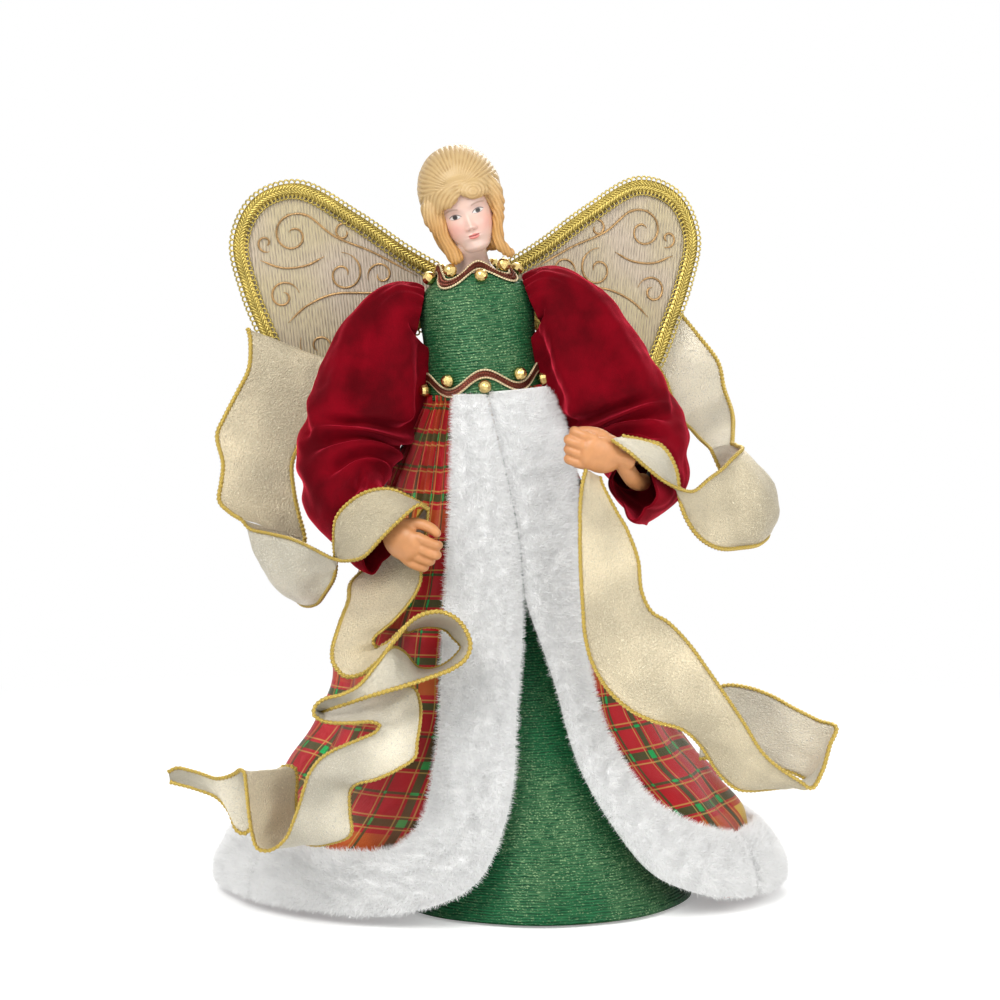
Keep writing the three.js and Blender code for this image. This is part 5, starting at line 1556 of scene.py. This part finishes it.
class TOPPER_OT_braids(bpy.types.Operator):
    """Makes the wavy braids of neck and waist and their gilt beads"""

    bl_idname = "topper.braids"
    bl_label = "Braids and beads"

    # Braids: level over the waist, bends, where the first bend lies, and sequins in a row.
    BRAIDS = {"neck": (51.4, 4, 0.19, 132), "waist": (7.8, 5, 0.02, 160)}
    # How far a braid swings, half its band's width, its cords and its beads from its middle.
    SWING, HALF, CORD_AT, BEAD_AT = 3.4, 1.35, 1.6, 5.2

    def execute(self, context):
        trim = context.scene.topper_trim
        brown = metal("sequin_brown", trim.sequin_brown, 0.5, 900.0, 0.3, 0.7, 0.0001)
        cream = thread("braid_cord", trim.cord_cream, 1.1, 0.45)
        gilt = metal("gilt", trim.bead_gold, 0.75, 500.0, 0.24, 1.0, 0.00004)
        for name in self.BRAIDS:
            self.braid(name, brown, cream)
            self.beads(name, gilt)
        return {"FINISHED"}

    def wave(self, name, angle):
        """Height of a braid's middle over the waist at an angle."""
        level, bends, turn, _ = self.BRAIDS[name]
        return level + self.SWING * np.cos(bends * (angle - turn))

    def braid(self, name, brown, cream):
        """A wavy band with a cord along both edges and two rows of sequins."""
        angle = circle(200)
        wave = self.wave(name, angle)
        rows = np.linspace(-self.HALF, self.HALF, 7)[:, None]
        belly = 1.0 + 0.35 * (1 - (rows / self.HALF) ** 2)
        top, under = (on_bodice(angle, wave + rows, out) for out in (belly, 0.3))
        band = slab(f"{name}_braid_band", top, under, [brown], closed=True)
        dress(band, "figure", "sequin_braid", f"{name}_braid")
        cords = [self.cord(on_bodice(angle, wave + edge, 1.0), 0.45) for edge in (-self.CORD_AT, self.CORD_AT)]
        cord = solid(f"{name}_braid_cords", cords, cream)
        dress(cord, "figure", "sequin_braid")
        fine = circle(self.BRAIDS[name][3])
        points, along, up = [], [], []
        for row, shift in ((-0.6, 0.0), (0.6, 0.5)):
            w = fine + shift * (fine[1] - fine[0])
            line = self.wave(name, w) + row
            here = on_bodice(w, line, 1.45 - 0.12 * abs(row))
            points.append(here)
            along.append(unit(np.roll(here, -1, 0) - here))
            up.append(unit(here - on_bodice(w, line, 0.4)) + 0.35 * along[-1])
        disc = circle(8)
        rim = 0.62 * chart(np.cos(disc), np.sin(disc), 0)
        shape, faces, _ = loft([rim, rim * 0.9 + (0, 0, 0.16)])
        shape[-2:] = (0, 0, -0.05), (0, 0, 0.02)
        sequins = row_of(
            f"{name}_braid_sequins", np.vstack(points), np.vstack(along), np.vstack(up),
            pattern_piece("sequin", shape, faces), brown, flat=True,
        )
        dress(sequins, "figure", "sequin_braid")

    def cord(self, path, radius):
        """A closed cord along a closed path."""
        run = unit(np.roll(path, -1, 0) - np.roll(path, 1, 0))
        across = unit(np.cross(run, unit(path - path.mean(0))))
        rings = path[:, None] + radius * rims(np.cross(across, run), across, 7)
        return loft(rings, lengths(np.vstack([path, path[:1]])), closed=True, girth=0.5)

    def beads(self, name, gilt):
        """Facetted beads, one in each bend."""
        _, bends, turn, _ = self.BRAIDS[name]
        i = np.arange(2 * bends)
        angle = turn + i * math.pi / bends
        height = self.wave(name, angle) + np.where(i % 2, 1, -1) * self.BEAD_AT
        centre = on_bodice(angle, height, 2.4)
        out = unit(centre - on_bodice(angle, height, 0))
        bead, faces, _ = ball((0, 0, 0), 2.8, 2.8, 2.8, 12, 8)
        along = unit(np.cross(out, (0, 0, 1)))
        nodes = [f"{name}_bead_{n + 1}" for n in i]
        obj = row_of(f"{name}_beads", centre, along, out, pattern_piece("bead", bead, faces), gilt, flat=True)
        dress(obj, "figure", "gilt_bead", *nodes)


class TOPPER_OT_wings(bpy.types.Operator):
    """Makes the pleated wings with their scrolls and gimp, and the felt pad that holds them"""

    bl_idname = "topper.wings"
    bl_label = "Wings"

    # Scrolls on a wing: centre, radii from and to, angle to start from, turns.
    SCROLLS = [
        (64, 27, 2.2, 9.5, 40, 1.25), (45, 9, 2.0, 9.0, 200, -1.3), (71, 2, 1.8, 7.0, 100, 1.2),
        (29, 7, 1.6, 6.0, 20, -1.1), (58, -20, 2.0, 8.5, 300, 1.25), (43, 26, 1.4, 4.5, 150, 1.0),
        (37, -15, 1.6, 5.5, 60, -1.1), (76, 25, 1.2, 4.0, 250, -1.0),
    ]
    STEMS = [
        [(14, 5), (32, 17), (47, 25), (58, 35), (66, 36)], [(16, -1), (34, 0), (50, 1), (62, -3), (70, -9)],
        [(15, -6), (32, -14), (46, -25), (60, -32)], [(52, 17), (60, 14), (70, 14), (79, 18)],
    ]
    # Felt pad: half its width and height, where its inner side and its middle lie, and its layers, each so far out with
    # this share of its size.
    PAD_WIDE, PAD_HIGH, PAD_BACK, PAD_HEIGHT = 9.5, 13, 17 * 1.03 + 0.35, 241
    PAD_LAYERS = [(0.0, 0.93), (0.25, 0.99), (0.9, 1.0), (1.45, 0.98), (1.7, 0.9), (1.78, 0.6), (1.74, 0.2)]

    def execute(self, context):
        figure, trim = context.scene.topper_figure, context.scene.topper_trim
        sheer = organza("organza", figure.wing)
        glitter = metal("scroll_glitter", figure.scroll, 1.9, 1600.0, 0.35, 0.5)
        gold = metal("gold_gimp", trim.gimp_gold, 0.6, 1400.0, 0.32, 0.75)
        for side in SIGN:
            self.panel(side, sheer, glitter)
            self.gimp(side, gold)
        self.pad()
        return {"FINISHED"}

    def at(self, side, u, depth, w):
        """Points of a wing's own plane in the upright frame."""
        sign = SIGN[side]
        u, depth, w = np.broadcast_arrays(np.asarray(u, float) * sign, np.asarray(depth, float), np.asarray(w, float))
        turn, sweep = -sign * WING_TURN[side], sign * WING_SWEEP[side]
        x, z = u * math.cos(turn) + w * math.sin(turn), -u * math.sin(turn) + w * math.cos(turn)
        x, y = x * math.cos(sweep) - depth * math.sin(sweep), x * math.sin(sweep) + depth * math.cos(sweep)
        return to_root(np.stack([x, y, z], -1) + (sign * WING_ROOT[0], *WING_ROOT[1:]))

    def panel(self, side, sheer, glitter):
        """A wing's pleated cloth and the glitter scrolls on it."""
        edge = spline([(u, w, 0) for u, w in WING_OUTLINE], np.linspace(0, 1, 500))[:, :2]
        tip = int(np.argmax(edge[:, 0]))
        u = np.linspace(4.6, edge[tip, 0] - 0.2, 560)
        high = np.interp(u, edge[: tip + 1, 0], edge[: tip + 1, 1])
        low = np.interp(u, edge[tip:, 0][::-1], edge[tip:, 1][::-1])
        w = low + (high - low) * np.linspace(0, 1, 28)[:, None]
        depth = -1.5 + 0.28 * np.sin(math.tau * u / PLEAT) + 0 * w
        front, back = self.at(side, u, depth - 0.12, w), self.at(side, u, depth + 0.12, w)
        uv = chart(u, w) / 1000
        panel = slab(f"wing_cloth_{side}", front, back, [sheer], uv)
        dress(panel, f"wing_{side}", "organza", f"wing_panel_{side}")
        lines = []
        for cu, cw, r0, r1, start, turns in self.SCROLLS:
            t = np.linspace(0, 1, 60)
            r, angle = r0 + (r1 - r0) * t**1.3, math.radians(start) + turns * math.tau * t
            lines.append((cu + r * np.cos(angle), cw + r * np.sin(angle)))
        for stem in self.STEMS:
            lines.append(spline([(a, b, 0) for a, b in stem], np.linspace(0, 1, 40)).T[:2])
        tubes = []
        for line_u, line_w in lines:
            t = np.linspace(0, 1, len(line_u))
            path = self.at(side, line_u, -2.0, line_w)
            tubes.append(tube(path, 0.5 * np.clip(8 * np.minimum(t, 1 - t), 0.35, 1), 6, (0, 1, 0), 0.5))
        scrolls = solid(f"wing_scrolls_{side}", tubes, glitter)
        dress(scrolls, f"wing_{side}", "organza")
        cut_length(front, 0.13)

    def gimp(self, side, gold):
        """Looped gimp: a plaited middle with a row of small loops along both edges."""
        edge = spline([(u, 0, w) for u, w in WING_OUTLINE], np.linspace(0, 1, 900))
        total = lengths(edge)[-1]

        def line(inset, pitch, shift=0.0):
            """Points at this pitch along the outline, this far inside it."""
            s = np.arange(pitch * (0.5 + shift), total - 0.4 * pitch, pitch)
            p = stations(edge, s)
            run = unit(np.gradient(p, axis=0))
            return p + inset * np.stack([run[:, 2], 0 * s, -run[:, 0]], -1)

        def laid(p, depth):
            """Points of the outline's plane on the wing, this deep."""
            return self.at(side, p[:, 0], depth, p[:, 2])

        facing = unit(self.at(side, 30, -3, 0) - self.at(side, 30, 0, 0))
        outer, inner = line(-1.3, 1.2), line(3.8, 1.2)
        rows = (outer, -2.75), ((outer + inner) / 2, -3.0), (inner, -2.75)
        top, under = np.stack([laid(p, d) for p, d in rows]), np.stack([laid(p, -2.2) for p, _ in rows])
        band = slab(f"wing_gimp_band_{side}", top, under, [gold])
        dress(band, f"wing_{side}", "gold_gimp", f"wing_braid_{side}")

        def rows_of(name, shape, faces, lines, depth):
            """Rows of a small shape along the edge, each turned aside by its slant."""
            here = [laid(p, depth) for p, _ in lines]
            runs = [unit(np.gradient(p, axis=0)) for p in here]
            along = [unit(run - SIGN[side] * slant * np.cross(facing, run)) for run, (_, slant) in zip(runs, lines)]
            piece = pattern_piece(name, shape, faces)
            row = row_of(f"wing_gimp_{name}_{side}", np.vstack(here), np.vstack(along), facing, piece, gold)
            dress(row, f"wing_{side}", "gold_gimp")

        q, w = circle(4), circle(9)[:, None]
        thick = 0.36 * np.cos(q)
        loop = chart((1.2 + thick) * np.cos(w), (1.5 + thick) * np.sin(w), 0.36 * np.sin(q))
        shape, faces, _ = merge([loft(loop, closed=True)])
        rows_of("loops", shape, faces, [(line(-1.3, 2.15), 0), (line(3.7, 2.15, 0.5), 0)], -2.8)
        shape, faces, _ = ball((0, 0, 0), 0.6, 0.5, 1.9, 6, 6)
        rows_of("plait", shape[:, [2, 0, 1]], faces, [(line(0.55, 1.5), 0.75), (line(1.95, 1.5), -0.75)], -3.1)

    def pad(self):
        """Felt pad with rounded edges and a line of stitches."""
        nap = {"Roughness": 0.95, "Sheen Weight": 0.4}
        felt = speckled("felt", (0.27, 0.03, 0.035), (0.16, 0.015, 0.018), 900.0, nap, 0.0005)
        silk = thread("pad_stitch", (0.5, 0.08, 0.07), 0.8, 0.1)
        t = circle(72)
        x, z = (np.sign(v) * np.abs(v) ** 0.35 for v in (np.cos(t), np.sin(t)))

        def ring(wide, high, out):
            """A squarish ring at the pad's height, this far out from the bodice's back."""
            return to_root(chart(wide * x, self.PAD_BACK + out, self.PAD_HEIGHT + high * z))

        rings = [ring(self.PAD_WIDE * share, self.PAD_HIGH * share, out) for out, share in self.PAD_LAYERS]
        pad = solid("wing_pad_felt", [loft(rings)], felt)
        dress(pad, "figure", "felt", "wing_anchor")
        run = ring(7.6, 11, 1.75)
        p = stations(run, np.arange(1.5, lengths(run)[-1], 3.0))
        stitch, faces, _ = ball((0, 0, 0), 0.3, 0.25, 1.0, 6, 5)
        stitches = row_of(
            "wing_pad_stitches", p, unit(np.gradient(p, axis=0)), (0.0, 1.0, 0.0),
            pattern_piece("stitch", stitch[:, [2, 0, 1]], faces), silk,
        )
        dress(stitches, "figure", "felt")


class TOPPER_OT_ribbons(bpy.types.Operator):
    """Makes the wired ribbons with their overcast edges"""

    bl_idname = "topper.ribbons"
    bl_label = "Ribbons"

    # Columns of points across a ribbon, and the middle one.
    ACROSS, MIDDLE = 15, 7

    # Bodies at each ribbon's first row and its last, and what it rests on; a ribbon with no last body rides on its
    # first, the others stay where they are.
    HELD = {
        "right_drop": ("figure", "arm_right", ["sleeve_right"]),
        "right_wrap": ("arm_right", None, ["hand_right"]),
        "right_tail": ("arm_right", "figure", ["hand_right", "overskirt"]),
        "left_drop": ("wing_left", "figure", ["wing_wire_left"]),
        "left_loop": ("figure", "arm_left", ["hand_left"]),
        "left_tail": ("arm_left", "figure", ["hand_left", "overskirt"]),
    }

    def execute(self, context):
        trim = context.scene.topper_trim
        face = lame("ribbon_face", trim.ribbon_cream, (0.98, 0.94, 0.82))
        back = lame("ribbon_back", trim.ribbon_tan, (0.95, 0.86, 0.62))
        gold = thread("ribbon_edge", trim.ribbon_gold, 1.0)
        for seed, (name, rows) in enumerate(RIBBONS.items()):
            self.ribbon(name, rows, seed, face, back, gold, trim.edge_radius * 1000)
        return {"FINISHED"}

    def ribbon(self, name, rows, seed, face, back, gold, edge):
        """One ribbon's cloth through its rows, softly rippled, and the overcast wires along its edges."""
        rows = np.array([(*r, *(np.add(r[:3], r[3:6]) / 2))[:9] for r in rows]).reshape(-1, 3, 3)
        a, b, middle = np.moveaxis(rows, 1, 0)
        t = np.linspace(0, 1, 9 * (len(rows) - 1) + 1)
        w = np.linspace(0, 1, self.ACROSS)
        a, b, belly = (spline(line, t)[:, None] for line in (a, b, middle - (a + b) / 2))
        sheet = a + (b - a) * w[:, None] + belly * (4 * w * (1 - w))[:, None]
        arc = lengths(sheet[:, self.MIDDLE])[:, None]
        out = grid_normals(sheet)
        soft = 0.45 * ripples(arc, w * 38, 19, 90 + seed) + 0.14 * ripples(arc, w * 38, 6, 190 + seed)
        sheet = sheet + out * (soft * np.minimum(1, 4 * np.minimum(w, 1 - w) + 0.4))[..., None]
        uv = chart(w * 0.038, arc / 1000)
        cloth = slab(f"ribbon_cloth_{name}", sheet + out * 0.12, sheet - out * 0.12, [face, back], uv)
        rods = [self.overcast(sheet[:, i], edge, out[0, i]) for i in (0, -1)]
        edges = solid(f"ribbon_edges_{name}", rods, gold)
        first, last, rests = self.HELD[name]
        for piece in (cloth, edges):
            if last is None:
                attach(piece, first)
            else:
                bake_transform(piece)
        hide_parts(f"ribbon_{name}")
        cut_length(sheet, 0.038)

    def overcast(self, line, edge, start):
        """Wire with thread wound over it: a rod that swells at each turn."""
        path = spline(line, np.linspace(0, 1, int(lengths(line)[-1] / 0.4)))
        turns = np.sin(lengths(path) * math.tau / 1.8)
        return tube(path, edge * (1.12 + 0.26 * turns), 7, start, 0.75)


OPERATORS = [
    TOPPER_OT_stage,
    TOPPER_OT_core,
    TOPPER_OT_green_knit,
    TOPPER_OT_overskirt,
    TOPPER_OT_fur,
    TOPPER_OT_sleeves,
    TOPPER_OT_hands,
    TOPPER_OT_head,
    TOPPER_OT_braids,
    TOPPER_OT_wings,
    TOPPER_OT_ribbons,
]
SETTINGS = {
    "topper_cloth": TopperCloth,
    "topper_trim": TopperTrim,
    "topper_figure": TopperFigure,
    "topper_stage": TopperStage,
}


class TOPPER_PT_panel(bpy.types.Panel):
    """Settings and makers of the topper"""

    bl_idname = "TOPPER_PT_panel"
    bl_label = "Tree topper"
    bl_space_type = "VIEW_3D"
    bl_region_type = "UI"
    bl_category = "Topper"

    def draw(self, context):
        for name, group in SETTINGS.items():
            box = self.layout.box()
            box.label(text=group.__doc__)
            for key in group.__annotations__:
                box.prop(getattr(context.scene, name), key)
        for operator in OPERATORS:
            self.layout.operator(operator.bl_idname)


def register():
    for cls in (*SETTINGS.values(), *OPERATORS, TOPPER_PT_panel):
        bpy.utils.register_class(cls)
    for name, group in SETTINGS.items():
        setattr(bpy.types.Scene, name, PointerProperty(type=group))


def unregister():
    for name in SETTINGS:
        delattr(bpy.types.Scene, name)
    for cls in (TOPPER_PT_panel, *reversed(OPERATORS), *SETTINGS.values()):
        bpy.utils.unregister_class(cls)


def main():
    register()
    for operator in OPERATORS:
        family, name = operator.bl_idname.split(".")
        getattr(getattr(bpy.ops, family), name)()
    bpy.context.view_layer.update()


if __name__ == "__main__":
    main()
